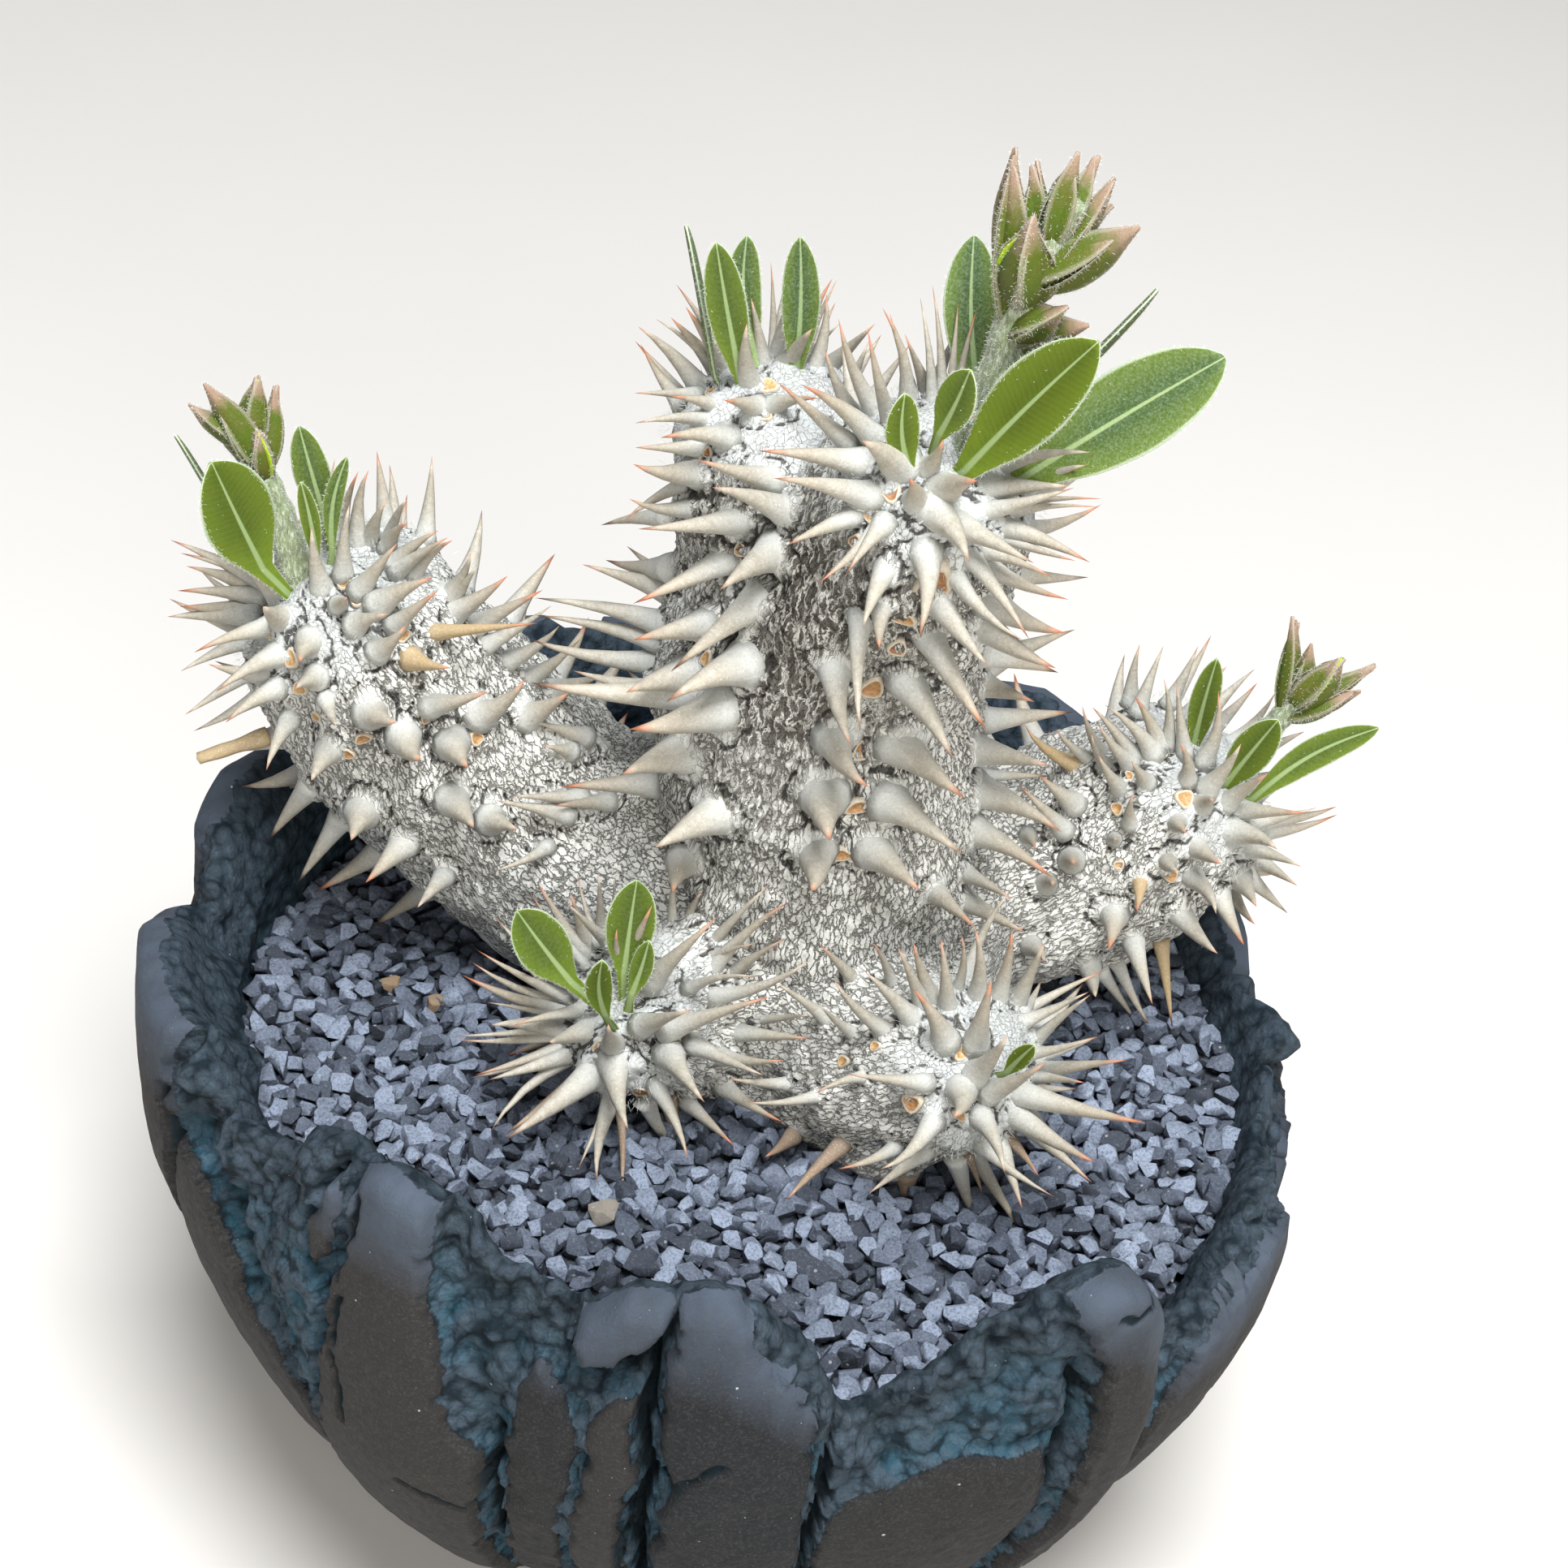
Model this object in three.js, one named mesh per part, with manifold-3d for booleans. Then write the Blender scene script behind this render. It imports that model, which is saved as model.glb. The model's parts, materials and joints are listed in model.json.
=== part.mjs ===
// A spiny caudex succulent with four side stems, leaves and flower buds in a hand-built clay bowl.
// Millimetres, +Z up. The origin is the centre of the bowl's flat foot and the front faces -Y.

import * as THREE from 'three';
import { mergeVertices } from 'three/addons/utils/BufferGeometryUtils.js';
import Module from 'manifold-3d';

const wasm = await Module();
wasm.setup();

// Clearance that neighbouring pieces keep
const gap = 0.3;

// Bowl
const bowlRadius = 60;
const bowlCentreZ = 57;
const wallThickness = 7.5;
const floorThickness = 8;
const floorRadius = 20;
const footRadius = 26;
const footHeight = 3;
const wallTaper = 300;
const bowlSides = 60;
const drainHoleRadius = 3.5;
const drainHoleRing = 13;
const drainHoleCount = 3;

// Net over the drain holes
const netRadius = 18;
const netThickness = 0.8;
const netHole = 3.6;
const netPitch = 6.8;
const netSides = 24;

// Soil and top dressing
const soilTop = 46;
const gravelTop = 54.5;
const gravelSwell = 0.7;
const gravelRings = 2;

// Plant
const limbSides = 12;
const limbSteps = 9;
const spineSides = 4;
const spineRoot = 1;
const spineSpacing = 1.8;
const leafThickness = 0.7;
const petioleWidth = 1.2;
const petioleDepth = 5;
const budSides = 5;
const stalkSides = 8;

// Rim of the bowl, anticlockwise seen from above: compass direction in degrees from the front
// towards +X, height of the torn edge, and how far the wall swells outwards there
const rimOutline = [
  [-180, 69, 0], [-165, 67, 0], [-152, 70, 0], [-138, 71, 0.5], [-124, 68, 0], [-112, 69, 0],
  [-104, 71.5, 0], [-97, 69, 0], [-90, 66, 0], [-83, 67.5, 1.5], [-72, 69, 1.5], [-64, 70, 0.5],
  [-57, 66, -0.5], [-50, 68, -1], [-44, 71, -1], [-40, 76.5, -0.5], [-36, 78, 0], [-26, 77.5, 0.5],
  [-22, 73.5, 0], [-16, 70, -1.5], [-12, 70, -1], [-5, 75.5, 0.5], [0, 77, 1], [5, 75, 0.5],
  [10, 69.5, 0], [12, 63, -1], [16, 61, -1], [24, 66, -1], [29, 69, -0.5], [33, 73, 0.5],
  [37, 74, 0.5], [41, 71.5, 0], [44, 66, 0], [47, 57, -1.5], [53, 56, -1], [60, 58, -0.5],
  [65, 62, -0.5], [70, 61.5, -0.5], [76, 58, -1.5], [86, 57, -1.5], [95, 58.5, -1], [104, 59, -1],
  [109, 56, -2], [120, 59, -1], [135, 63, 0], [150, 68, 0], [166, 66, 0], [180, 69, 0],
];

const materials = {
  clay: new THREE.MeshStandardMaterial({ color: 0x2e2d2f, roughness: 0.85, metalness: 0 }),
  net: new THREE.MeshStandardMaterial({ color: 0x1d1f1e, roughness: 0.6, metalness: 0 }),
  soil: new THREE.MeshStandardMaterial({ color: 0x4a3b2c, roughness: 0.95, metalness: 0 }),
  gravel: new THREE.MeshStandardMaterial({ color: 0x6b7484, roughness: 0.9, metalness: 0 }),
  bark: new THREE.MeshStandardMaterial({ color: 0xbdb8ac, roughness: 0.8, metalness: 0 }),
  leaf: new THREE.MeshStandardMaterial({ color: 0x6f9c3c, roughness: 0.6, metalness: 0 }),
  stalk: new THREE.MeshStandardMaterial({ color: 0x8b9c6c, roughness: 0.8, metalness: 0 }),
  bud: new THREE.MeshStandardMaterial({ color: 0x93965a, roughness: 0.7, metalness: 0 }),
};

const vector = ([x, y, z]) => new THREE.Vector3(x, y, z);
const radians = THREE.MathUtils.degToRad;

// Unit vector that leans from the vertical towards a compass direction
function leaning(lean, turn) {
  return new THREE.Vector3(
    Math.sin(radians(lean)) * Math.sin(radians(turn)),
    -Math.sin(radians(lean)) * Math.cos(radians(turn)),
    Math.cos(radians(lean)),
  );
}

// Closed mesh as a solid
function solidOf(geometry) {
  const bare = geometry.clone();
  bare.deleteAttribute('normal');
  bare.deleteAttribute('uv');
  const merged = mergeVertices(bare);
  return new wasm.Manifold(new wasm.Mesh({
    numProp: 3,
    vertProperties: Float32Array.from(merged.attributes.position.array),
    triVerts: Uint32Array.from(merged.index.array),
  }));
}

function geometryOf(solid) {
  const mesh = solid.getMesh();
  const geometry = new THREE.BufferGeometry();
  geometry.setAttribute('position', new THREE.BufferAttribute(Float32Array.from(mesh.vertProperties), 3));
  geometry.setIndex(new THREE.BufferAttribute(Uint32Array.from(mesh.triVerts), 1));
  geometry.computeVertexNormals();
  return geometry;
}

function largestPiece(solid) {
  return solid.decompose().reduce((best, piece) => (piece.volume() > best.volume() ? piece : best));
}

// Closed skin over a run of rings with equally many points, each end closed by a fan.
// The points of a ring run anticlockwise for a viewer at the last ring who looks at the first.
function skin(rings) {
  const sides = rings[0].length;
  const positions = rings.flat().flatMap(point => point.toArray());
  const indices = [];
  for (let row = 0; row + 1 < rings.length; row += 1) {
    for (let side = 0; side < sides; side += 1) {
      const here = row * sides + side;
      const next = row * sides + ((side + 1) % sides);
      indices.push(here, next, next + sides);
      indices.push(here, next + sides, here + sides);
    }
  }
  const closeEnd = (row, forwards) => {
    const centre = rings[row].reduce((sum, point) => sum.add(point), new THREE.Vector3());
    const middle = positions.length / 3;
    positions.push(...centre.divideScalar(sides).toArray());
    for (let side = 0; side < sides; side += 1) {
      const here = row * sides + side;
      const next = row * sides + ((side + 1) % sides);
      indices.push(...(forwards ? [middle, here, next] : [middle, next, here]));
    }
  };
  closeEnd(0, false);
  closeEnd(rings.length - 1, true);
  const geometry = new THREE.BufferGeometry();
  geometry.setAttribute('position', new THREE.Float32BufferAttribute(positions, 3));
  geometry.setIndex(indices);
  return geometry;
}

// Ring of points about a centre in the plane of two directions
function ringOf(sides, centre, across, up, halfWidth, halfHeight) {
  return Array.from({ length: sides }, (_, side) => {
    const angle = (side / sides) * 2 * Math.PI;
    return centre.clone()
      .addScaledVector(across, halfWidth * Math.cos(angle))
      .addScaledVector(up, halfHeight * Math.sin(angle));
  });
}

// Level ring about the bowl's axis, with its radius and height given by compass direction
function levelRing(radiusAt, heightAt) {
  return Array.from({ length: bowlSides }, (_, side) => {
    const turn = (side / bowlSides) * 360;
    const radius = radiusAt(turn);
    return leaning(90, turn).multiplyScalar(radius).setZ(heightAt(turn));
  });
}

function rimAt(turn) {
  const wrapped = turn > 180 ? turn - 360 : turn;
  const next = rimOutline.findIndex(([direction]) => direction > wrapped);
  const [fromTurn, fromHeight, fromSwell] = rimOutline[next - 1] ?? rimOutline.at(-1);
  const [toTurn, toHeight, toSwell] = rimOutline[next] ?? rimOutline.at(-1);
  const share = toTurn === fromTurn ? 0 : (wrapped - fromTurn) / (toTurn - fromTurn);
  return {
    height: THREE.MathUtils.lerp(fromHeight, toHeight, share),
    swell: THREE.MathUtils.lerp(fromSwell, toSwell, share),
  };
}

// Radius of a round bowl wall at a height: a sphere below the widest level, nearly upright above
function roundWall(radius, height) {
  const rise = height - bowlCentreZ;
  if (rise < 0) {
    return Math.sqrt(Math.max(radius * radius - rise * rise, 1));
  }
  return radius - (rise * rise) / wallTaper;
}

// Bowl with a torn rim. A grown bowl is larger by the same amount on every side.
function bowlGeometry(grow) {
  const outerRadius = bowlRadius + grow;
  const innerRadius = bowlRadius - wallThickness - grow;
  const shares = [0.08, 0.22, 0.4, 0.6, 0.8];
  const levelAt = (turn, share, bottom) => {
    const top = rimAt(turn).height - 2.5 + grow;
    return THREE.MathUtils.lerp(bottom, top, share);
  };
  const outer = shares.concat(1).map(share => levelRing(
    turn => {
      const level = levelAt(turn, share, footHeight);
      return roundWall(outerRadius, level) + rimAt(turn).swell * share;
    },
    turn => levelAt(turn, share, footHeight),
  ));
  const crest = [-1, -wallThickness + 1].map(inset => levelRing(
    turn => outerRadius + rimAt(turn).swell + inset - 2 * grow * (inset < -1),
    turn => rimAt(turn).height + grow,
  ));
  const floorLevel = floorThickness + grow;
  const inner = [1, 0.6, 0.33, 0.12].map(share => levelRing(
    turn => roundWall(innerRadius, levelAt(turn, share, floorLevel)),
    turn => levelAt(turn, share, floorLevel),
  ));
  return skin([
    levelRing(() => footRadius, () => -grow),
    levelRing(() => footRadius + 1, () => footHeight),
    ...outer,
    ...crest,
    ...inner,
    levelRing(() => floorRadius - grow, () => floorLevel),
  ]);
}

// Drain holes stand around the middle, which stays solid
function drainHoles() {
  return Array.from({ length: drainHoleCount }, (_, index) => {
    const hole = new THREE.CylinderGeometry(drainHoleRadius, drainHoleRadius, 3 * floorThickness, 16);
    hole.rotateX(Math.PI / 2);
    const place = leaning(90, 60 + (index / drainHoleCount) * 360).multiplyScalar(drainHoleRing);
    hole.translate(place.x, place.y, 0);
    return solidOf(hole);
  });
}

function drainNet() {
  const level = floorThickness + gap + netThickness / 2;
  const disc = new THREE.CylinderGeometry(netRadius, netRadius, netThickness, netSides);
  disc.rotateX(Math.PI / 2).translate(0, 0, level);
  let net = solidOf(disc);
  const reach = Math.floor(netRadius / netPitch);
  for (let column = -reach; column <= reach; column += 1) {
    for (let row = -reach; row <= reach; row += 1) {
      const x = column * netPitch;
      const y = row * netPitch;
      if (Math.hypot(x, y) < netRadius - netHole) {
        net = net.subtract(solidOf(new THREE.BoxGeometry(netHole, netHole, 3).translate(x, y, level)));
      }
    }
  }
  return net;
}

// Fill of the bowl up to a level, as wide as the middle of the wall, which cuts it to size
function fillGeometry(bottom, topAt, steps) {
  const middle = bowlRadius - wallThickness / 2;
  const reachAt = level => roundWall(middle, level);
  const edge = topAt(0, middle);
  const rings = [
    levelRing(() => reachAt(bottom) / 2, () => bottom),
    levelRing(() => reachAt(bottom), () => bottom),
    levelRing(() => reachAt((bottom + edge) / 2), () => (bottom + edge) / 2),
  ];
  for (let step = steps; step > 0; step -= 1) {
    const radius = (step / steps) * reachAt(edge);
    rings.push(levelRing(() => radius, turn => topAt(turn, radius)));
  }
  return skin(rings);
}

// Uneven surface of the crushed stone
function gravelLevel(turn, radius) {
  const waves = Math.sin(radians(turn) * 3 + radius / 9) + Math.cos(radians(turn) * 7 - radius / 6);
  return gravelTop + (gravelSwell * waves) / 2;
}

// A limb is a round body along a curve that ends in a dome. Its azimuth starts at its facing side.
class Limb {
  constructor({ path, radii, facing, dome }) {
    this.curve = new THREE.CatmullRomCurve3(path.map(vector));
    this.radii = radii;
    this.facing = vector(facing);
    this.length = this.curve.getLength();
    this.dome = dome;
  }

  radiusAt(along) {
    const share = THREE.MathUtils.clamp(along / this.length, 0, 1) * (this.radii.length - 1);
    const index = Math.min(Math.floor(share), this.radii.length - 2);
    const body = THREE.MathUtils.lerp(this.radii[index], this.radii[index + 1], share - index);
    const past = Math.max(0, along - (this.length - this.dome)) / this.dome;
    return body * Math.sqrt(Math.max(1 - past * past, 0));
  }

  frameAt(along) {
    const u = THREE.MathUtils.clamp(along / this.length, 0, 1);
    const centre = this.curve.getPointAt(u);
    const ahead = this.curve.getTangentAt(u);
    const front = this.facing.clone().addScaledVector(ahead, -this.facing.dot(ahead)).normalize();
    const side = ahead.clone().cross(front);
    return { centre, ahead, front, side };
  }

  // Point on the skin with its outward direction
  surfaceAt(along, azimuth) {
    const { centre, ahead, front, side } = this.frameAt(along);
    const outward = front.clone().multiplyScalar(Math.cos(radians(azimuth)))
      .addScaledVector(side, Math.sin(radians(azimuth)));
    const radius = this.radiusAt(along);
    const slope = (this.radiusAt(along + 0.5) - this.radiusAt(along - 0.5));
    const normal = outward.clone().addScaledVector(ahead, -slope).normalize();
    return { point: centre.addScaledVector(outward, radius), normal, ahead };
  }

  geometry(grow) {
    const body = this.length - this.dome;
    const bodyStops = Array.from({ length: limbSteps + 1 }, (_, step) => (step / limbSteps) * body);
    const domeStops = [0.5, 0.8, 0.95].map(share => body + share * this.dome);
    return skin([...bodyStops, ...domeStops].map(along => {
      const { centre, ahead, front, side } = this.frameAt(along);
      const radius = this.radiusAt(along) + grow;
      const longer = (along > body) - (along === 0);
      centre.addScaledVector(ahead, longer * grow);
      return ringOf(limbSides, centre, front, side, radius, radius);
    }));
  }

  // How deep a point lies under the skin, negative outside
  depthOf(point) {
    const samples = 24;
    let deepest = -Infinity;
    for (let step = 0; step <= samples; step += 1) {
      const along = (step / samples) * this.length;
      const centre = this.curve.getPointAt(step / samples);
      deepest = Math.max(deepest, this.radiusAt(along) - centre.distanceTo(point));
    }
    return deepest;
  }
}

const front = [0, -1, 0];
const upwards = [0, 0, 1];

const limbs = {
  trunk: new Limb({
    path: [[8, 10, 34], [7, 9.5, 56], [5, 9, 78], [3, 8, 98], [2.5, 7.5, 113]],
    radii: [9, 17.5, 17.5, 17, 15],
    facing: front,
    dome: 9,
  }),
  leftHead: new Limb({
    path: [[1, 9, 94], [-2.5, 10, 112], [-5.5, 11, 128.5]],
    radii: [12, 11, 9.5],
    facing: front,
    dome: 6,
  }),
  rightHead: new Limb({
    path: [[4, 5, 100], [8.5, 0.5, 116], [12.5, -5, 133]],
    radii: [12, 12, 9.5],
    facing: front,
    dome: 7,
  }),
  left: new Limb({
    path: [[2, 10, 64], [-20, 13.5, 67.5], [-35, 14, 80], [-48, 10.5, 101]],
    radii: [14, 14, 14, 11],
    facing: upwards,
    dome: 8,
  }),
  right: new Limb({
    path: [[9, 12, 62], [24, 17, 66], [36, 20, 71.5], [47, 20, 85]],
    radii: [12.5, 13, 13, 10],
    facing: upwards,
    dome: 7,
  }),
  frontLeft: new Limb({
    path: [[2, 8, 52], [-5, -3, 61], [-13.5, -14.5, 69]],
    radii: [10, 10, 8.5],
    facing: upwards,
    dome: 5,
  }),
  frontRight: new Limb({
    path: [[6, 4, 50], [13, -8.5, 60], [25, -19, 74]],
    radii: [9, 10.5, 8.5],
    facing: upwards,
    dome: 6,
  }),
};

// Nodes in upright columns: compass direction, drift over the height, and first and last place
function columnNodes(columns, pitch) {
  return columns.flatMap(({ azimuth, drift, from, to }) => {
    const count = Math.floor((to - from) / pitch) + 1;
    return Array.from({ length: count }, (_, index) => ({
      along: from + index * pitch,
      azimuth: azimuth + (drift * index) / count,
    }));
  });
}

// Nodes that wind up the limb by the golden angle
const goldenAngle = 137.5;

function spiralNodes({ from, to, pitch, phase }) {
  const count = Math.floor((to - from) / pitch) + 1;
  return Array.from({ length: count }, (_, index) => ({
    along: from + index * pitch,
    azimuth: phase + index * goldenAngle,
  }));
}

const trunkColumns = [
  { azimuth: 8, drift: 24, from: 26, to: 76 },
  { azimuth: 66, drift: 16, from: 24, to: 74 },
  { azimuth: 124, drift: 6, from: 28, to: 78 },
  { azimuth: -178, drift: -4, from: 24, to: 76 },
  { azimuth: -122, drift: 0, from: 28, to: 78 },
  { azimuth: -84, drift: -4, from: 40, to: 78 },
  { azimuth: -36, drift: -8, from: 30, to: 76 },
];

// A pair of spines stands beside the leaf scar of each node
const spineSets = [
  { limb: 'trunk', nodes: columnNodes(trunkColumns, 7.4), spread: 15,
    length: 9.5, width: 4.6, lift: [-4, 12] },
  { limb: 'leftHead', nodes: spiralNodes({ from: 17, to: 33.5, pitch: 1.3, phase: 20 }), spread: 24,
    length: 8, width: 3.4, lift: [8, 34] },
  { limb: 'rightHead', nodes: spiralNodes({ from: 15, to: 34, pitch: 1.3, phase: -20 }), spread: 22,
    length: 9, width: 3.6, lift: [-4, 22] },
  { limb: 'left', nodes: spiralNodes({ from: 16, to: 61, pitch: 1.15, phase: 40 }), spread: 17,
    length: 8, width: 3.8, lift: [-8, 20] },
  { limb: 'right', nodes: spiralNodes({ from: 16, to: 46, pitch: 1.15, phase: 70 }), spread: 18,
    length: 8, width: 3.6, lift: [-8, 22] },
  { limb: 'frontLeft', nodes: spiralNodes({ from: 15, to: 30.5, pitch: 0.75, phase: 0 }), spread: 24,
    length: 11.5, width: 3.2, lift: [0, 14] },
  { limb: 'frontRight', nodes: spiralNodes({ from: 14, to: 37, pitch: 0.95, phase: 30 }), spread: 22,
    length: 10.5, width: 3.2, lift: [0, 18] },
];

// Spines that would run into another limb, into the stone or into a placed spine are left out
const placedSpines = [];

function isClear(spine, owner) {
  const others = Object.entries(limbs).filter(([name]) => name !== owner).map(([, limb]) => limb);
  const probes = [0.35, 0.7, 1].map(share => spine.base.clone().lerp(spine.tip, share));
  const outOfLimbs = others.every(limb => probes.every(probe => limb.depthOf(probe) < -0.8));
  const outOfStone = spine.base.z > gravelTop + 1 && spine.tip.z > gravelTop - 1;
  const outOfSpines = placedSpines.every(other => probes.every(probe => [0.35, 0.7, 1].every(
    share => other.base.clone().lerp(other.tip, share).distanceTo(probe) > spineSpacing,
  )));
  return outOfLimbs && outOfStone && outOfSpines;
}

function spinesOf({ limb: owner, nodes, spread, length, width, lift }) {
  const limb = limbs[owner];
  const [firstLift, lastLift] = lift;
  const spines = [];
  for (const { along, azimuth } of nodes) {
    const height = along / limb.length;
    for (const side of [-1, 1]) {
      const { point, normal, ahead } = limb.surfaceAt(along, azimuth + side * spread);
      const tilt = radians(THREE.MathUtils.lerp(firstLift, lastLift, height));
      const direction = normal.multiplyScalar(Math.cos(tilt)).addScaledVector(ahead, Math.sin(tilt));
      const tip = point.clone().addScaledVector(direction.normalize(), length);
      const spine = { base: point, tip, direction, length, width };
      if (isClear(spine, owner)) {
        spines.push(spine);
        placedSpines.push(spine);
      }
    }
  }
  return spines;
}

function spineGeometry({ base, direction, length, width }, grow) {
  const radius = width / 2 + grow;
  const height = length + spineRoot + (grow * length) / (width / 2);
  const cone = new THREE.ConeGeometry(radius, height, spineSides, 1);
  cone.translate(0, height / 2 - spineRoot, 0);
  cone.applyQuaternion(new THREE.Quaternion().setFromUnitVectors(new THREE.Vector3(0, 1, 0), direction));
  return cone.translate(base.x, base.y, base.z);
}

const spines = Object.fromEntries(spineSets.map(set => [set.limb, spinesOf(set)]));

// Limbs that grew as one body, with all of their spines
function plantBody(names, grow) {
  const bodies = names.map(name => solidOf(limbs[name].geometry(grow)));
  const thorns = names.flatMap(name => spines[name].map(spine => solidOf(spineGeometry(spine, grow))));
  return bodies.concat(thorns).reduce((whole, piece) => whole.add(piece));
}

// Leaf blade along its own axis, thin at the edges and bent back towards its tip, on a short
// petiole out of the crown. Its upper face looks to the middle of the crown, turned by its twist.
function leafGeometry({ root, foot, length, width, lean, turn, twist, bend }, grow) {
  const axis = leaning(lean, turn);
  const upper = leaning(lean - 90, turn).applyAxisAngle(axis, radians(twist));
  const across = upper.clone().cross(axis);
  const blade = [0, 0.16, 0.36, 0.58, 0.8, 0.94, 1];
  const outline = [0.3, 0.55, 0.88, 1, 0.82, 0.45, 0.12];
  const rings = blade.map((share, index) => {
    const centre = foot.clone()
      .addScaledVector(axis, share * length + (share === 1 ? grow : 0))
      .addScaledVector(upper, -bend * length * share * share);
    const halfWidth = (width / 2) * outline[index] + grow;
    return ringOf(4, centre, across, upper, halfWidth, leafThickness / 2 + grow);
  });
  const petiole = ringOf(4, root, across, upper, petioleWidth / 2 + grow, leafThickness / 2 + grow);
  return skin([petiole, ...rings]);
}

// Pointed flower bud with its closed sepals
function budGeometry({ base, length, width, lean, turn }, grow) {
  const axis = leaning(lean, turn);
  const upper = leaning(lean - 90, turn);
  const across = upper.clone().cross(axis);
  const lengths = [0, 0.15, 0.4, 0.65, 0.85, 1];
  const outline = [0.35, 0.8, 1, 0.8, 0.4, 0.1];
  return skin(lengths.map((share, index) => {
    const centre = base.clone().addScaledVector(axis, share * length + (2 * share - 1) * grow);
    const radius = (width / 2) * outline[index] + grow;
    return ringOf(budSides, centre, across, upper, radius, radius);
  }));
}

const stalkShapes = {
  right_head_flower_stalk: { path: [[13.5, -4.5, 129], [15, -4, 138], [16.5, -4, 149], [19.5, -3.5, 157]],
    radii: [2, 1.8, 1.5, 1] },
  left_flower_stalk: { path: [[-48.5, 10, 98], [-50, 9.5, 105], [-52, 9.5, 111], [-54, 10, 115.5]],
    radii: [1.8, 1.7, 1.4, 0.9] },
  right_flower_stalk: { path: [[47.5, 20, 81], [49, 20, 85], [51, 20, 90], [53.5, 19, 94.5]],
    radii: [1.6, 1.4, 1.2, 0.8] },
};

function stalkGeometry({ path, radii }, grow) {
  const curve = new THREE.CatmullRomCurve3(path.map(vector));
  const steps = 6;
  return skin(Array.from({ length: steps + 1 }, (_, step) => {
    const share = step / steps;
    const ahead = curve.getTangentAt(share);
    const centre = curve.getPointAt(share).addScaledVector(ahead, (2 * share - 1) * grow);
    const across = vector(front).addScaledVector(ahead, -vector(front).dot(ahead)).normalize();
    const place = share * (radii.length - 1);
    const index = Math.min(Math.floor(place), radii.length - 2);
    const radius = THREE.MathUtils.lerp(radii[index], radii[index + 1], place - index) + grow;
    return ringOf(stalkSides, centre, across, ahead.clone().cross(across), radius, radius);
  }));
}

// Leaves of each crown: foot of the blade from the limb's tip, length, width, lean, compass turn,
// twist and bend
const leafSets = {
  right_head: { limb: 'rightHead', leaves: [
    { foot: [1, -3, -1.5], length: 18.5, width: 7, lean: 32, turn: 66, twist: 80, bend: 0.03 },
    { foot: [6, 0, -3], length: 21, width: 8, lean: 48, turn: 94, twist: 55, bend: 0.06 },
    { foot: [-4, -3.5, -1], length: 8, width: 3.2, lean: 11, turn: -60, twist: -100, bend: 0 },
    { foot: [-2, -3, 0.5], length: 8, width: 4, lean: 16, turn: 62, twist: 95, bend: 0 },
    { foot: [4.5, 3.5, -1], length: 18, width: 4, lean: 49, turn: 121, twist: 125, bend: 0 },
    { foot: [0, 5, 0], length: 15, width: 6, lean: 28, turn: -159, twist: -20, bend: 0.05 },
    { foot: [4.5, 1.5, 0], length: 9, width: 2.4, lean: 22, turn: 90, twist: 60, bend: 0 },
  ] },
  left_head: { limb: 'leftHead', leaves: [
    { foot: [-4.5, 0, -1], length: 15, width: 3, lean: 16, turn: -109, twist: 20, bend: 0 },
    { foot: [-2, -2.5, 0.5], length: 14, width: 3.8, lean: 14, turn: -90, twist: -80, bend: 0 },
    { foot: [-1, 2.5, 0.5], length: 11.5, width: 3.4, lean: 12, turn: -127, twist: -45, bend: 0 },
    { foot: [3, 0.5, 0], length: 13.5, width: 3.6, lean: 7, turn: -142, twist: -35, bend: 0 },
  ] },
  left: { limb: 'left', leaves: [
    { foot: [-3.5, -5.5, 0.5], length: 14.5, width: 8.3, lean: 20, turn: -62, twist: -90, bend: 0.05 },
    { foot: [1.5, 2.5, 3], length: 11, width: 3.6, lean: 18, turn: -112, twist: -50, bend: 0 },
    { foot: [4, 0, 2.5], length: 10.5, width: 1.9, lean: 10, turn: 138, twist: 45, bend: 0 },
    { foot: [1.5, -3.5, 3], length: 9, width: 1.9, lean: 10, turn: -90, twist: -75, bend: 0 },
    { foot: [-7, 0, 2], length: 12, width: 2, lean: 32, turn: -104, twist: 30, bend: 0 },
  ] },
  right: { limb: 'right', leaves: [
    { foot: [-4, -1, -0.5], length: 12, width: 3, lean: 2, turn: 90, twist: 80, bend: 0 },
    { foot: [0, -4.5, -0.5], length: 10.5, width: 3.8, lean: 19, turn: 72, twist: 85, bend: 0 },
    { foot: [3.5, -4, -2], length: 15, width: 3.4, lean: 44, turn: 90, twist: 55, bend: 0.03 },
  ] },
  front_left: { limb: 'frontLeft', leaves: [
    { foot: [-3, 0, 3.5], length: 11, width: 5.2, lean: 32, turn: -90, twist: -60, bend: 0 },
    { foot: [2, 1, 4], length: 11, width: 4.2, lean: 12, turn: 160, twist: 20, bend: 0 },
    { foot: [0, -2, 2], length: 8, width: 2.7, lean: 9, turn: -37, twist: -135, bend: 0 },
    { foot: [3, -0.5, 2.5], length: 7, width: 1.8, lean: 14, turn: 133, twist: 40, bend: 0 },
  ] },
  front_right: { limb: 'frontRight', leaves: [
    { foot: [0.5, -1.5, -0.5], length: 5.5, width: 2, lean: 25, turn: 60, twist: 90, bend: 0 },
  ] },
};

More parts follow.
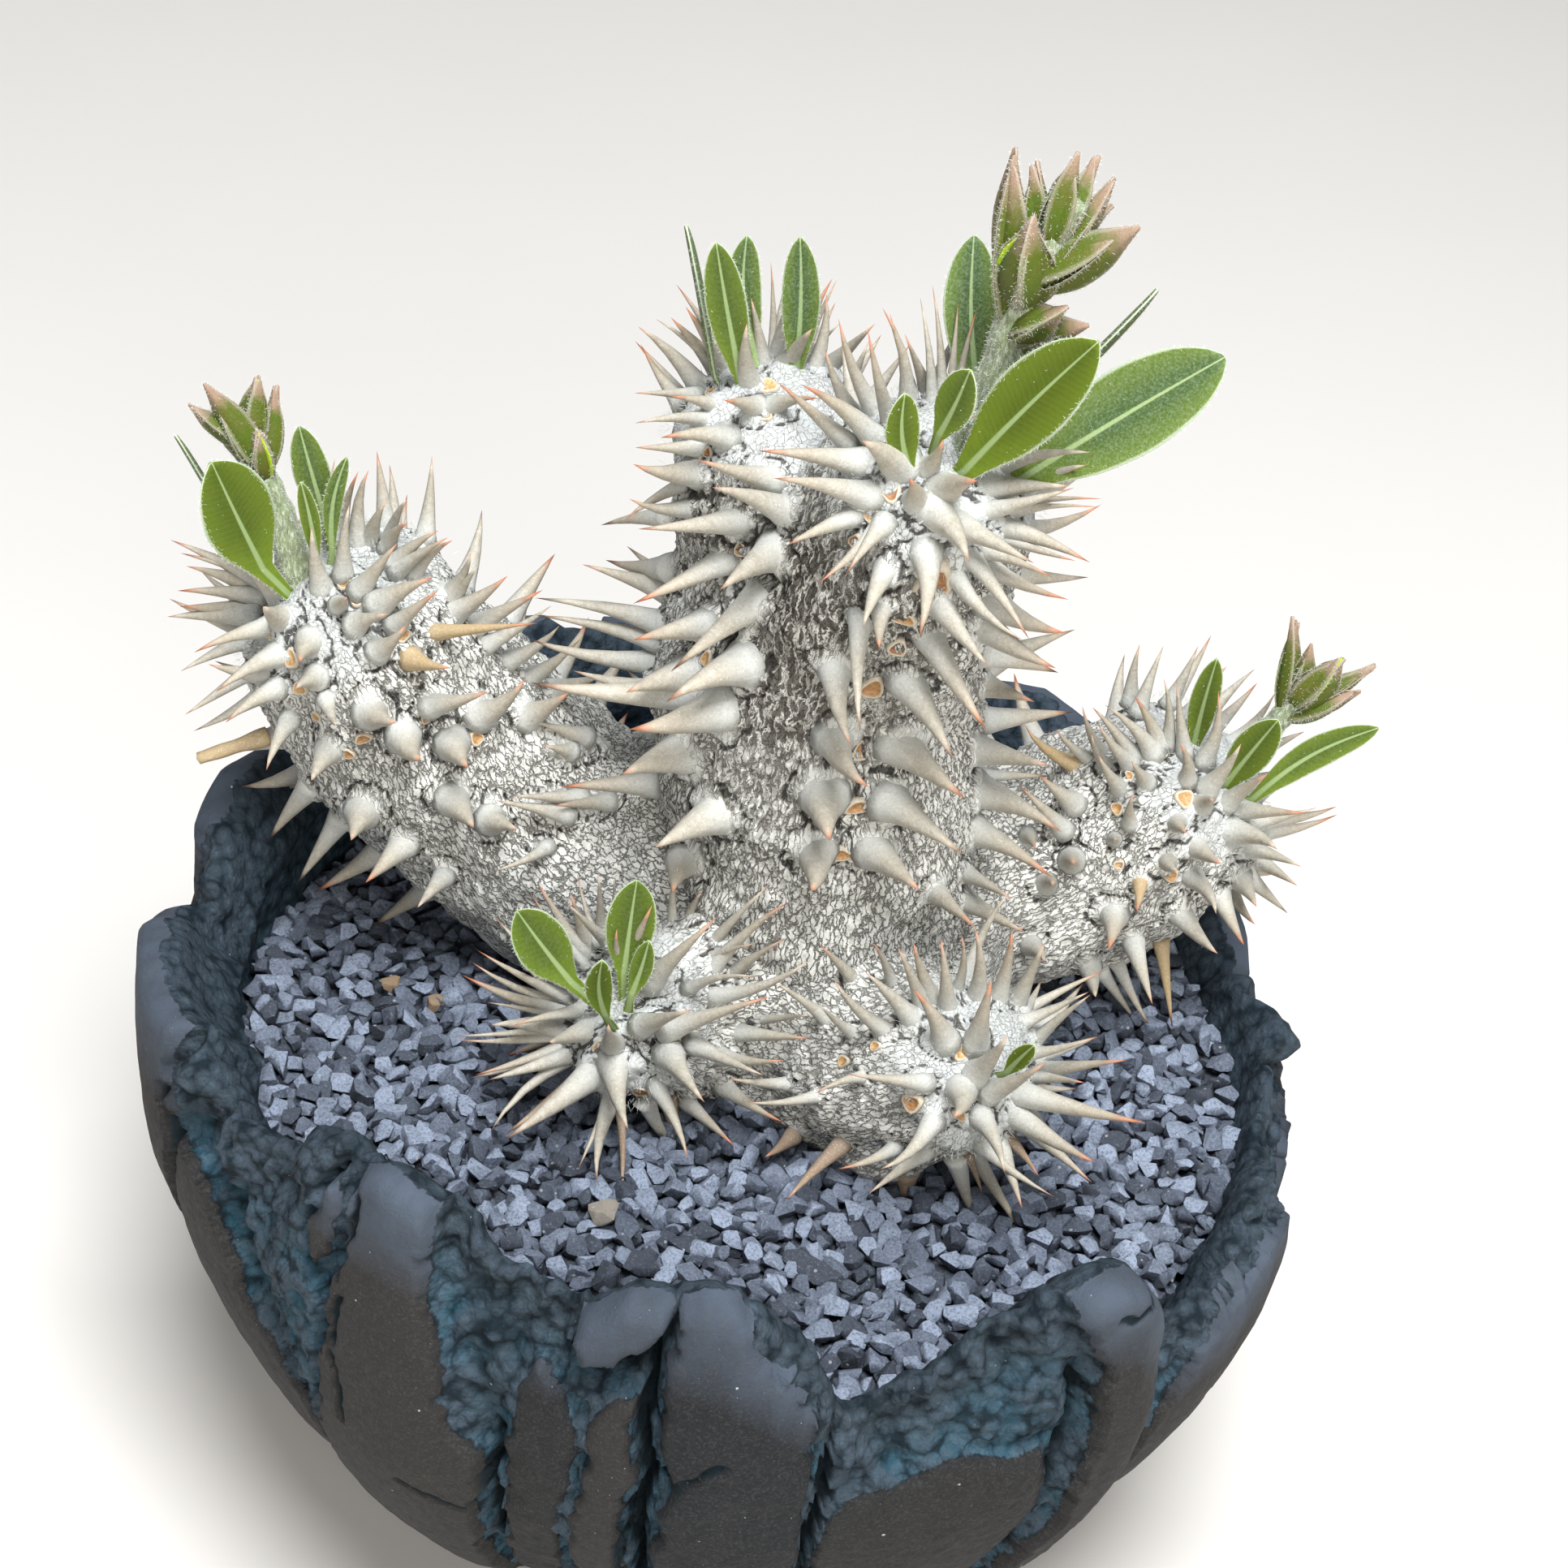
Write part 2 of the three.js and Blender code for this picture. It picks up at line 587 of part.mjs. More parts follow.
// Buds of each stalk: foot on the stalk as a share of its length, then length, width, lean and turn
const budSets = {
  right_head_flower_stalk: [
    { share: 0.55, length: 15, width: 2.8, lean: 12, turn: -100 },
    { share: 0.62, length: 10, width: 3, lean: 24, turn: 0 },
    { share: 0.7, length: 12, width: 3, lean: 26, turn: 110 },
    { share: 0.8, length: 8.5, width: 2.6, lean: 26, turn: 40 },
    { share: 0.6, length: 12, width: 3, lean: 38, turn: 70 },
    { share: 0.48, length: 9, width: 2.8, lean: 52, turn: 40 },
    { share: 0.46, length: 8, width: 2.2, lean: 66, turn: 95 },
    { share: 0.9, length: 7, width: 2.6, lean: 4, turn: 180 },
    { share: 0.82, length: 7, width: 2.2, lean: 24, turn: -150 },
    { share: 0.9, length: 7, width: 2.2, lean: 44, turn: 125 },
  ],
  left_flower_stalk: [
    { share: 0.75, length: 12, width: 2.8, lean: 22, turn: -70 },
    { share: 0.6, length: 10, width: 2, lean: 44, turn: -110 },
    { share: 0.9, length: 8, width: 2.6, lean: 4, turn: 90 },
    { share: 0.6, length: 9, width: 2.4, lean: 16, turn: 0 },
    { share: 0.72, length: 10, width: 1.8, lean: 14, turn: 110 },
  ],
  right_flower_stalk: [
    { share: 0.75, length: 11, width: 1.8, lean: 6, turn: -165 },
    { share: 0.9, length: 7, width: 2.2, lean: 18, turn: 90 },
    { share: 0.8, length: 9, width: 2.6, lean: 38, turn: 60 },
    { share: 0.65, length: 10, width: 2, lean: 56, turn: 95 },
    { share: 0.6, length: 8, width: 2, lean: 22, turn: 0 },
  ],
};

// Pieces in the order in which they are placed: each is cut clear of all that stand before it
const plant = new THREE.Group();
const pot = new THREE.Group();
const placed = [];

function place(group, name, shape, material) {
  const whole = placed.reduce((piece, other) => piece.subtract(other), shape(0));
  const mesh = new THREE.Mesh(geometryOf(largestPiece(whole)), material);
  mesh.name = name;
  group.add(mesh);
  placed.push(shape(gap));
}

const bowl = grow => drainHoles().reduce(
  (body, hole) => body.subtract(hole),
  solidOf(bowlGeometry(grow)),
);
place(pot, 'bowl', bowl, materials.clay);

place(plant, 'trunk', grow => plantBody(['trunk', 'leftHead', 'rightHead'], grow), materials.bark);
place(plant, 'left_stem', grow => plantBody(['left'], grow), materials.bark);
place(plant, 'right_stem', grow => plantBody(['right'], grow), materials.bark);
place(plant, 'front_left_stem', grow => plantBody(['frontLeft'], grow), materials.bark);
place(plant, 'front_right_stem', grow => plantBody(['frontRight'], grow), materials.bark);

for (const [name, stalk] of Object.entries(stalkShapes)) {
  place(plant, name, grow => solidOf(stalkGeometry(stalk, grow)), materials.stalk);
}

for (const [crown, { limb, leaves }] of Object.entries(leafSets)) {
  const { centre: tip, ahead } = limbs[limb].frameAt(limbs[limb].length);
  const heart = tip.clone().addScaledVector(ahead, -petioleDepth);
  leaves.forEach((leaf, index) => {
    const foot = tip.clone().add(vector(leaf.foot));
    const root = foot.clone().lerp(heart, 0.7);
    const shape = grow => solidOf(leafGeometry({ ...leaf, root, foot }, grow));
    place(plant, `${crown}_leaf_${index + 1}`, shape, materials.leaf);
  });
}

for (const [stalk, buds] of Object.entries(budSets)) {
  const curve = new THREE.CatmullRomCurve3(stalkShapes[stalk].path.map(vector));
  buds.forEach((bud, index) => {
    const base = curve.getPointAt(bud.share);
    const shape = grow => solidOf(budGeometry({ ...bud, base }, grow));
    place(plant, `${stalk.replace('flower_stalk', 'bud')}_${index + 1}`, shape, materials.bud);
  });
}

place(pot, 'drain_net', drainNet, materials.net);

const soilBottom = floorThickness + netThickness + 2 * gap;
const soil = grow => solidOf(fillGeometry(soilBottom, () => soilTop + grow, 1));
place(pot, 'soil', soil, materials.soil);

const gravel = grow => solidOf(fillGeometry(soilTop + gap - grow, gravelLevel, gravelRings));
place(pot, 'gravel_top_dressing', gravel, materials.gravel);

const pottedPlant = new THREE.Group();
pottedPlant.add(pot, plant);

export default pottedPlant;
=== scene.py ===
# A spiny branching succulent in a hand-built clay bowl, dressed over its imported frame.
# Metres, +Z up: the bowl's foot stands on the origin and its front faces -Y.
import json
import math
from itertools import product
import bmesh
import bpy
import numpy as np
from mathutils import Matrix, Vector

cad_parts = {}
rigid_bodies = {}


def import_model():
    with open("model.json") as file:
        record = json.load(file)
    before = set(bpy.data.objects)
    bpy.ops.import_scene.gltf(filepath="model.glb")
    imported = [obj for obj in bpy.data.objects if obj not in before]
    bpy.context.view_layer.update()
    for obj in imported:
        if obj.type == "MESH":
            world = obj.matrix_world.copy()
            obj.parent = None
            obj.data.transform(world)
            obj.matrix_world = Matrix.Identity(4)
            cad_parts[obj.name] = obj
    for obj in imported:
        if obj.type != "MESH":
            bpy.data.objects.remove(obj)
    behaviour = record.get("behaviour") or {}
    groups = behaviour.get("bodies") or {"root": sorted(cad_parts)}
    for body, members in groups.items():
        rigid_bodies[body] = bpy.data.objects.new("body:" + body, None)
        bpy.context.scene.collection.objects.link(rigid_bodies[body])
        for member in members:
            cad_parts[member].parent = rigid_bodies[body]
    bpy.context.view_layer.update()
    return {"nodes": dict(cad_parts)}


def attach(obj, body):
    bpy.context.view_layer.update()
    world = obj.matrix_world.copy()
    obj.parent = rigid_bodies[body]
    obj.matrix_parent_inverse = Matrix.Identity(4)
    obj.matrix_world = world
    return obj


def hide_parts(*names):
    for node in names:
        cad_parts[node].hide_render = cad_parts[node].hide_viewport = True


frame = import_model()
mm = 0.001
farOff = 1e9  # where a search for the nearest starts
fullTurn = 2 * math.pi
goldenTurn = 137.5  # degrees from one leaf or spine of a spiral to the next


# Small numeric helpers: all of them work on whole arrays of points

def hashed(ix, iy, iz, seed):
    n = (ix * 374761393 + iy * 668265263 + iz * 1442695041 + seed * 974634777) & 0xffffffff
    n = ((n ^ (n >> 13)) * 1274126177) & 0xffffffff
    n = ((n ^ (n >> 15)) * 2246822519) & 0xffffffff
    return ((n ^ (n >> 16)) & 0xffffff) / 0xffffff


def lumps(points, size, seed=0):  # smooth noise from -1 to 1 with lumps of that size
    place = points / size
    cell = np.floor(place).astype(np.int64)
    part = place - cell
    part = part * part * (3 - 2 * part)
    sides, total = (1 - part, part), np.zeros(len(points))
    for dx, dy, dz in product((0, 1), repeat=3):
        share = sides[dx][:, 0] * sides[dy][:, 1] * sides[dz][:, 2]
        total += share * hashed(cell[:, 0] + dx, cell[:, 1] + dy, cell[:, 2] + dz, seed)
    return total * 2 - 1


def roughness(points, size, seed=0, octaves=4, keep=0.5):  # finer and finer lumps added up
    total, weight = np.zeros(len(points)), 1.0
    for octave in range(octaves):
        total += weight * lumps(points, size / 2 ** octave, seed + 17 * octave)
        weight *= keep
    return total


def cells(points, size, seed=0):  # distances to the nearest and second nearest of scattered seeds
    place = points / size
    cell = np.floor(place).astype(np.int64)
    nearest, second = np.full(len(points), 9.0), np.full(len(points), 9.0)
    for step in product((-1, 0, 1), repeat=3):
        at = cell + np.array(step)
        jitter = np.stack([hashed(at[:, 0], at[:, 1], at[:, 2], seed + k) for k in (1, 2, 3)], 1)
        span = np.linalg.norm(at + jitter - place, axis=1)
        second = np.where(span < nearest, nearest, np.minimum(second, span))
        nearest = np.minimum(nearest, span)
    return nearest, second


def smooth(low, high, value):  # eased step from 0 to 1
    share = np.clip((value - low) / (high - low), 0, 1)
    return share * share * (3 - 2 * share)


def unit(vectors):
    return vectors / np.maximum(np.linalg.norm(vectors, axis=-1, keepdims=True), 1e-9)


def lineDistance(x, y, points):
    nearest = np.full(len(x), farOff)
    for (ax, ay), (bx, by) in zip(points[:-1], points[1:]):
        dx, dy = bx - ax, by - ay
        share = np.clip(((x - ax) * dx + (y - ay) * dy) / (dx * dx + dy * dy + 1e-9), 0, 1)
        nearest = np.minimum(nearest, np.hypot(x - ax - share * dx, y - ay - share * dy))
    return nearest


def outlineDistance(x, y, corners):  # distance to a closed outline, negative inside
    corners = np.concatenate([corners, corners[:1]])
    inside = np.zeros(len(x), bool)
    for (ax, ay), (bx, by) in zip(corners[:-1], corners[1:]):
        inside ^= ((ay > y) != (by > y)) & (x < (bx - ax) * (y - ay) / (by - ay + 1e-12) + ax)
    return np.where(inside, -1, 1) * lineDistance(x, y, corners)


# Mesh helpers

def linked(name, data):  # a new object in the scene
    piece = bpy.data.objects.new(name, data)
    bpy.context.scene.collection.objects.link(piece)
    return piece


def setMark(mesh, name, values):  # a number or a direction for each point
    values = np.asarray(values, np.float32)
    kind, key = ("FLOAT_VECTOR", "vector") if values.ndim == 2 else ("FLOAT", "value")
    mesh.attributes.new(name, kind, "POINT").data.foreach_set(key, values.ravel())


def meshPiece(name, vertices, faces, marks=None, shadeSmooth=True, scale=mm):
    mesh = bpy.data.meshes.new(name)
    mesh.from_pydata([tuple(v) for v in np.asarray(vertices) * scale], [], [tuple(f) for f in faces])
    for mark, values in (marks or {}).items():
        setMark(mesh, mark, values)
    mesh.validate()
    mesh.polygons.foreach_set("use_smooth", [shadeSmooth] * len(mesh.polygons))
    return linked(name, mesh)


def meshFrom(shell, name):  # a finished bmesh as a mesh
    mesh = bpy.data.meshes.new(name)
    shell.to_mesh(mesh)
    shell.free()
    return mesh


def settled(piece):  # the piece with its modifiers carried out, as a plain mesh
    plain = bpy.data.meshes.new_from_object(piece.evaluated_get(bpy.context.evaluated_depsgraph_get()))
    piece.modifiers.clear()
    piece.data = plain
    return piece


def facedOutwards(piece):
    shell = bmesh.new()
    shell.from_mesh(piece.data)
    bmesh.ops.recalc_face_normals(shell, faces=shell.faces)
    shell.to_mesh(piece.data)
    shell.free()


def ringTurns(sides, full=fullTurn):
    return np.linspace(0, full, sides, endpoint=False)


def gridFaces(rows, columns):  # quads between rings of points, closed round the rings
    row, column = np.meshgrid(np.arange(rows - 1), np.arange(columns), indexing="ij")
    here = row * columns + column
    beside = row * columns + (column + 1) % columns
    return np.stack([here, beside, beside + columns, here + columns], -1).reshape(-1, 4).tolist()


def closedFaces(rows, columns):  # the same, closed by a pole at each end: the last two points
    faces, last = gridFaces(rows, columns), rows * columns
    for side in range(columns):
        beside = (side + 1) % columns
        faces += [[last, beside, side], [last + 1, last - columns + side, last - columns + beside]]
    return faces


# Node trees for materials

def wired(tree, kind, inputs=None, **settings):  # a new node with its settings and inputs
    node = tree.nodes.new(kind)
    for key, value in settings.items():
        setattr(node, key, value)
    for key, value in (inputs or {}).items():
        if isinstance(value, bpy.types.NodeSocket):
            tree.links.new(value, node.inputs[key])
        elif value is not None:
            node.inputs[key].default_value = value
    return node


class Finish:  # one material being built, with its sizes in millimetres
    def __init__(self, name):
        self.material = bpy.data.materials.new(name)
        self.material.use_nodes = True
        self.tree = self.material.node_tree
        self.tree.nodes.clear()
        self.shader = wired(self.tree, "ShaderNodeBsdfPrincipled")
        output = wired(self.tree, "ShaderNodeOutputMaterial")
        self.tree.links.new(self.shader.outputs[0], output.inputs["Surface"])
        self.place = self.node("TexCoord")["Object"]

    def node(self, kind, inputs=None, **settings):
        return wired(self.tree, "ShaderNode" + kind, inputs, **settings).outputs

    def mark(self, name, part="Fac"):
        return self.node("Attribute", attribute_name=name)[part]

    def marks(self, *names):
        return [self.mark(name) for name in names]

    def parts(self, vector):  # its three numbers
        return self.node("SeparateXYZ", {0: vector})

    def texture(self, kind, size, place, stretch, output, inputs=None, **settings):
        place = place or self.place
        if stretch:
            place = self.node("Mapping", {"Vector": place, "Scale": stretch})[0]
        return self.node(kind, {"Vector": place, "Scale": 1 / (size * mm), **(inputs or {})}, **settings)[output]

    def noise(self, size, detail=4, rough=0.7, place=None, stretch=None, output="Fac"):
        return self.texture("TexNoise", size, place, stretch, output, {"Detail": detail, "Roughness": rough})

    def cracks(self, size, place=None, stretch=None, feature="DISTANCE_TO_EDGE", output="Distance"):
        return self.texture("TexVoronoi", size, place, stretch, output, feature=feature)

    def grains(self, size, place=None, output="Distance"):  # round specks
        return self.cracks(size, place, feature="F1", output=output)

    def warped(self, size, reach, place=None):  # the place pushed about by a noise
        place = place or self.place
        push = self.noise(size, 3, 0.6, place, output="Color")
        steps = (("SUBTRACT", {1: (0.5, 0.5, 0.5)}), ("SCALE", {"Scale": reach * mm}), ("ADD", {1: place}))
        for operation, inputs in steps:
            push = self.node("VectorMath", {0: push, **inputs}, operation=operation)[0]
        return push

    def ramp(self, value, *stops):
        node = wired(self.tree, "ShaderNodeValToRGB", {"Fac": value})
        elements = node.color_ramp.elements
        while len(elements) < len(stops):
            elements.new(0.5)
        for element, (at, colour) in zip(elements, stops):
            element.position = at
            element.color = (*colour, 1) if isinstance(colour, tuple) else (colour, colour, colour, 1)
        return node.outputs["Color"]

    def fade(self, value, start, end, first=0, last=1):  # from the first number to the last between two values
        return self.ramp(value, (start, first), (end, last))

    def math(self, operation, a, b=0.0, c=0.0):
        return self.node("Math", {0: a, 1: b, 2: c}, operation=operation)[0]

    def plus(self, a, b):
        return self.math("ADD", a, b)

    def minus(self, a, b):
        return self.math("SUBTRACT", a, b)

    def times(self, a, b):
        return self.math("MULTIPLY", a, b)

    def rest(self, share):  # what a share leaves of one
        return self.math("SUBTRACT", 1, share)

    def timesPlus(self, a, b, c):
        return self.math("MULTIPLY_ADD", a, b, c)

    def mix(self, share, a, b):
        a, b = ((*tone, 1) if isinstance(tone, tuple) else tone for tone in (a, b))
        return self.node("Mix", {"Factor": share, 6: a, 7: b}, data_type="RGBA")[2]

    def coats(self, tone, *coats):  # further colours over a tone, each with its share
        for share, colour in coats:
            tone = self.mix(share, tone, colour)
        return tone

    def bump(self, *heights):  # heights on each other, each with its depth and strength
        normal = None
        for height, depth, strength in heights:
            inputs = {"Height": height, "Distance": depth * mm, "Strength": strength, "Normal": normal}
            normal = self.node("Bump", inputs)[0]
        return normal

    def done(self, colour, rough, normal=None, **others):
        sockets = {"Base Color": colour, "Roughness": rough, "Normal": normal, **others}
        for name, value in sockets.items():
            socket = self.shader.inputs[name.replace("_", " ")]
            if isinstance(value, bpy.types.NodeSocket):
                self.tree.links.new(value, socket)
            elif value is not None:
                socket.default_value = value
        return self.material


def dress(piece, material, *nodes, slot=None):  # last step of every piece
    piece.data.materials.clear()
    piece.data.materials.append(material)
    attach(piece, "root")
    if nodes:
        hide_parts(*nodes)


# The bowl: smooth slabs of dark clay pressed on a rough torn wall, with cracks between them.
# Outlines are in degrees round from the front, towards +X, and in millimetres of height.
bowl = {
    "radius": 60, "centreZ": 57, "taper": 300, "wall": 7.5, "floor": 8, "floorRadius": 20,
    "footRadius": 26, "footHeight": 3, "holeRadius": 3.5, "holeRing": 13, "holeTurns": (60, 180, 300),
    "coreDepth": 2.4, "coreRough": 1.6, "crumb": 0.26, "lip": 1.5, "thinnest": -5.4,
    "rows": 140, "fineStep": 0.47, "coarseStep": 1.2, "fineTurns": (-92, 80),
    "rim": [  # turn, height, swell outwards
        (-180, 69, 0), (-172, 67.5, 0), (-165, 67, 0), (-152, 70, 0), (-138, 71, 0.5), (-131, 68, 0.3), (-124, 68, 0),
        (-118, 70, 0), (-112, 69, 0), (-104, 71.5, 0), (-97, 69, 0), (-90, 66, 0), (-86, 66.5, 1), (-83, 68.5, 1.6),
        (-78, 69.5, 1.6), (-72, 69.2, 1.5), (-66, 70.2, 0.8), (-62, 69, 0), (-57, 66, -0.5), (-50, 68, -1),
        (-46, 69.5, -1), (-43.5, 71.5, -1), (-41, 76, -0.6), (-38, 77.6, 0), (-36, 77, 0), (-34.5, 77, 0),
        (-32, 78.6, 0.3), (-29, 79.2, 0.5), (-26, 78.6, 0.5), (-24, 76, 0), (-22, 73.5, -0.6), (-19, 71.5, -1.2),
        (-16, 70, -1.5), (-13.5, 69.6, -1.3), (-12, 71, -0.6), (-10, 73.5, -0.2), (-7, 76.2, 0.3), (-4.4, 76.8, 0.6),
        (-3.4, 76.2, 0.6), (-2.4, 77.6, 0.8), (0, 78.2, 1), (2.4, 77.6, 1), (5, 75.2, 0.5), (8, 72, 0),
        (10, 69.5, -0.2), (11.5, 66, -0.8), (12.6, 62.5, -1.2), (14, 61.2, -1.5), (16, 61, -1.6), (20, 63, -1.4),
        (24, 66, -1), (28, 68.5, -0.6), (30.5, 69.6, 0), (32.3, 72.5, 0.4), (34.5, 74.4, 0.7), (37, 75, 0.8),
        (39.5, 74, 0.6), (42, 70.5, 0.2), (43.6, 66, -0.3), (44.8, 59.5, -1.4), (46.5, 57.4, -1.7), (50, 56.5, -1.4),
        (53, 56, -1), (57, 57.5, -0.6), (60, 58.5, -0.4), (63, 62, -0.2), (66.5, 62.6, -0.2), (70, 61.5, -0.5),
        (74, 58.5, -1), (80, 57.2, -1.4), (86, 57, -1.5), (92, 58.4, -1), (97, 59.4, -0.6), (103, 59.6, -0.6),
        (106, 58.5, -1.2), (109, 56, -2), (112, 57.5, -1.6), (116, 59.5, -1), (122, 59.5, -1), (128, 60.5, -0.6),
        (135, 63, 0), (142, 66.4, 0), (150, 68, 0), (158, 66, 0), (166, 66.5, 0), (173, 69.3, 0), (180, 69, 0),
    ],
    # outline, thickness on the core, roughness, brownness
    "slabs": {
        "frontLeft": ([(-33.5, 84), (-25, 84), (-25.2, 75), (-24.6, 70), (-23.8, 62), (-22.6, 57), (-20.8, 51.6),
            (-19, 48.6), (-20.3, 41), (-20.5, 28), (-22, 14), (-25, 7), (-37, 7), (-39, 18), (-39.5, 30), (-38.4, 42.7),
            (-37.4, 49), (-36.2, 56), (-36, 63), (-34.6, 68), (-34.4, 74)], 3.1, 0.1, 0.9),
        "brownChip": ([(-36.2, 75.5), (-39.6, 69), (-38.6, 62.6), (-36.2, 66), (-34.9, 72.5)], 2.5, 0.25, 1),
        "roughBand": ([(-43.5, 84), (-37, 84), (-36.4, 76), (-40, 69), (-39, 62), (-36.8, 62.6), (-37.8, 49),
            (-39.4, 42), (-41, 40), (-43, 47), (-45, 56), (-45.4, 64), (-44, 70)], 1.7, 0.6, 0.1),
        "leftEdge": ([(-64, 58), (-60, 58), (-57.4, 56.6), (-54, 52.5), (-51, 47.6), (-46.5, 45), (-42.6, 40),
            (-41.6, 30), (-42.5, 15), (-45, 7), (-64, 7), (-68, 20), (-67, 44)], 2.5, 0.15, 0.9),
        "left": ([(-88, 84), (-67, 84), (-66.2, 74), (-65, 69), (-65.6, 64), (-63.4, 61), (-64, 56), (-67, 48),
            (-70, 40), (-72, 20), (-72, 7), (-90, 7), (-91, 24), (-90.5, 46), (-88.5, 62)], 3, 0.1, 0.7),
        "knob": ([(-64.4, 84), (-57.5, 84), (-57.4, 67.6), (-58.6, 65.4), (-63.4, 65.6), (-64.6, 68)], 2.4, 0.6, 0.3),
        "middleLow": ([(-17, 60.4), (-15, 63.4), (-11.6, 62.8), (-10, 58), (-10.4, 50), (-11.6, 41), (-12.4, 30),
            (-13.6, 14), (-15, 7), (-19.5, 7), (-19.6, 24), (-18.6, 36), (-17.8, 47)], 1.7, 0.35, 0.35),
        "middle": ([(-9.2, 61.4), (-5.2, 66), (-4.9, 60.4), (-4.8, 52.2), (-5.2, 39), (-6, 25), (-7.4, 7), (-13, 7),
            (-11.6, 22), (-11, 36), (-9.9, 50.2)], 2.4, 0.12, 0.95),
        "tiltedChip": ([(-9.6, 84), (-3.7, 84), (-3.3, 74.4), (-5, 72), (-7.6, 68.6), (-10.4, 66.7), (-11.6, 69.4),
            (-11, 73)], 3.5, 0.3, 0.3),
        "frontEdge": ([(1.6, 84), (10, 84), (12.4, 66), (12.2, 60), (11.4, 54), (10.2, 54), (9, 64), (5, 71),
            (2.2, 75)], 2.7, 0.75, 0),
        "front": ([(-3.2, 84), (1.8, 84), (2.5, 76.6), (5, 73.2), (7.4, 70), (9.2, 66.8), (10.5, 62.6), (10.9, 57),
            (10.7, 53), (11.2, 42), (10.7, 30), (9.5, 15), (8, 7), (-3.6, 7), (-3.1, 20), (-2.8, 35), (-2.9, 45),
            (-2, 51), (-2, 56), (-3, 60.5), (-3.6, 66), (-3.5, 71)], 3.7, 0.1, 0.15),
        "lowRight": ([(12.8, 47), (16, 51.4), (20, 53), (25.6, 56), (29, 53.4), (33, 55), (34.8, 48), (34.6, 41),
            (34, 30), (32, 14), (30, 7), (13, 7), (12.2, 30)], 1.9, 0.3, 0.5),
        "tongue": ([(33, 84), (43.6, 84), (43.8, 64), (44.9, 58), (45.2, 52), (44.4, 46.5), (42, 38), (41, 25), (40, 7),
            (36.4, 7), (36.2, 25), (36.7, 40), (36.8, 48), (36.5, 53), (36.8, 60), (35.9, 66), (32.6, 71)],
            4, 0.08, 0.7),
        "right": ([(58.6, 57), (62, 59.4), (67, 60), (72, 58), (75.4, 54), (77, 44), (76, 26), (73, 7), (50, 7),
            (48.6, 28), (49.6, 40), (52, 48), (56.4, 55), (58, 60)], 2.8, 0.12, 0.8),
        "rightRear": ([(82, 50), (88, 53), (96, 52), (105.4, 55), (106, 50), (104, 42), (102, 24), (99, 7), (80, 7),
            (79.6, 30), (80.4, 46)], 2.2, 0.45, 0.4),
        "rightPost": ([(90, 84), (105, 84), (105.6, 60), (101, 56), (93, 56.6), (90, 58)], 1.9, 0.75, 0.1),
        "backA": ([(111, 84), (131, 84), (133, 62), (130, 48), (131, 30), (127, 7), (106, 7), (108, 26), (107, 44),
            (110, 56)], 2.9, 0.15, 0.8),
        "backB": ([(136, 84), (160, 84), (158, 66), (160, 52), (156, 34), (155, 7), (133, 7), (136, 24), (135, 44),
            (138, 56)], 3.2, 0.12, 0.9),
        "backC": ([(164, 84), (179, 84), (179.4, 62), (177, 44), (178, 22), (176, 7), (160, 7), (161, 30), (163, 50),
            (162, 62)], 2.4, 0.3, 0.6),
        "backD": ([(-176, 84), (-156, 84), (-157, 64), (-154, 50), (-155, 30), (-158, 7), (-178, 7), (-177, 30),
            (-173, 48), (-175, 62)], 3.1, 0.12, 0.85),
        "backE": ([(-152, 84), (-127, 84), (-129, 66), (-127, 54), (-130, 34), (-132, 7), (-153, 7), (-151, 24),
            (-149, 44), (-152, 58)], 2.8, 0.15, 0.8),
        "backF": ([(-122, 84), (-96, 84), (-97, 62), (-95, 48), (-97, 28), (-99, 7), (-127, 7), (-125, 30), (-121, 50),
            (-123, 66)], 3.2, 0.1, 0.85),
    },
    "cracks": [  # line, width, depth, raggedness
        ([(-33.4, 75), (-33, 71), (-34.6, 67), (-34.8, 65.6)], 0.8, 1.6, 0.5),
        ([(-33.6, 63.6), (-34.4, 60.4), (-34.2, 57.6)], 0.5, 1.2, 0.4),
        ([(-34.1, 55.6), (-33.8, 52), (-33.2, 47.6)], 0.5, 1.3, 0.4),
        ([(-27.4, 42.6), (-25.6, 41.8), (-24, 41.6), (-21.4, 40.4)], 0.35, 0.7, 0.3),
        ([(-18.8, 53), (-18.6, 48), (-19.2, 44), (-19, 40), (-19.6, 32)], 1.3, 2.2, 0.7),
        ([(-4.2, 70), (-4.4, 64), (-4, 58), (-3.5, 51), (-4, 44), (-4.3, 32), (-5, 16)], 0.9, 3, 0.5),
        ([(-4.6, 50), (-5.2, 44), (-6, 36), (-6.6, 24)], 0.7, 1.2, 0.5),
        ([(-2.4, 54.6), (-1, 55.4), (0, 58), (1.4, 59.4), (2.6, 60.2)], 0.4, 0.8, 0.4),
        ([(35.6, 62), (36, 57), (35.6, 52), (35, 46), (35.4, 36), (35, 20)], 1, 2.4, 0.6),
        ([(36.4, 72), (38, 71.2), (40, 71.8), (41.6, 70.4)], 0.25, 0.5, 0.3),
        ([(-12, 66), (-8, 66.4), (-5, 69.4)], 0.9, 1.8, 0.6),
        ([(12.2, 56), (12, 50), (11.8, 40), (11.6, 26)], 0.9, 2.2, 0.5),
        ([(-66, 62), (-64, 56), (-66, 50), (-69, 42), (-70, 26)], 0.8, 2, 0.6),
        ([(-60, 30), (-56, 26), (-52, 27)], 0.4, 0.9, 0.4),
        ([(62, 40), (66, 34), (65, 26)], 0.4, 1, 0.4),
        ([(144, 50), (148, 42), (146, 34), (151, 26)], 0.5, 1.1, 0.4),
        ([(-112, 46), (-108, 40), (-110, 32)], 0.4, 1, 0.4),
        ([(-140, 60), (-137, 54), (-141, 47)], 0.4, 0.9, 0.4),
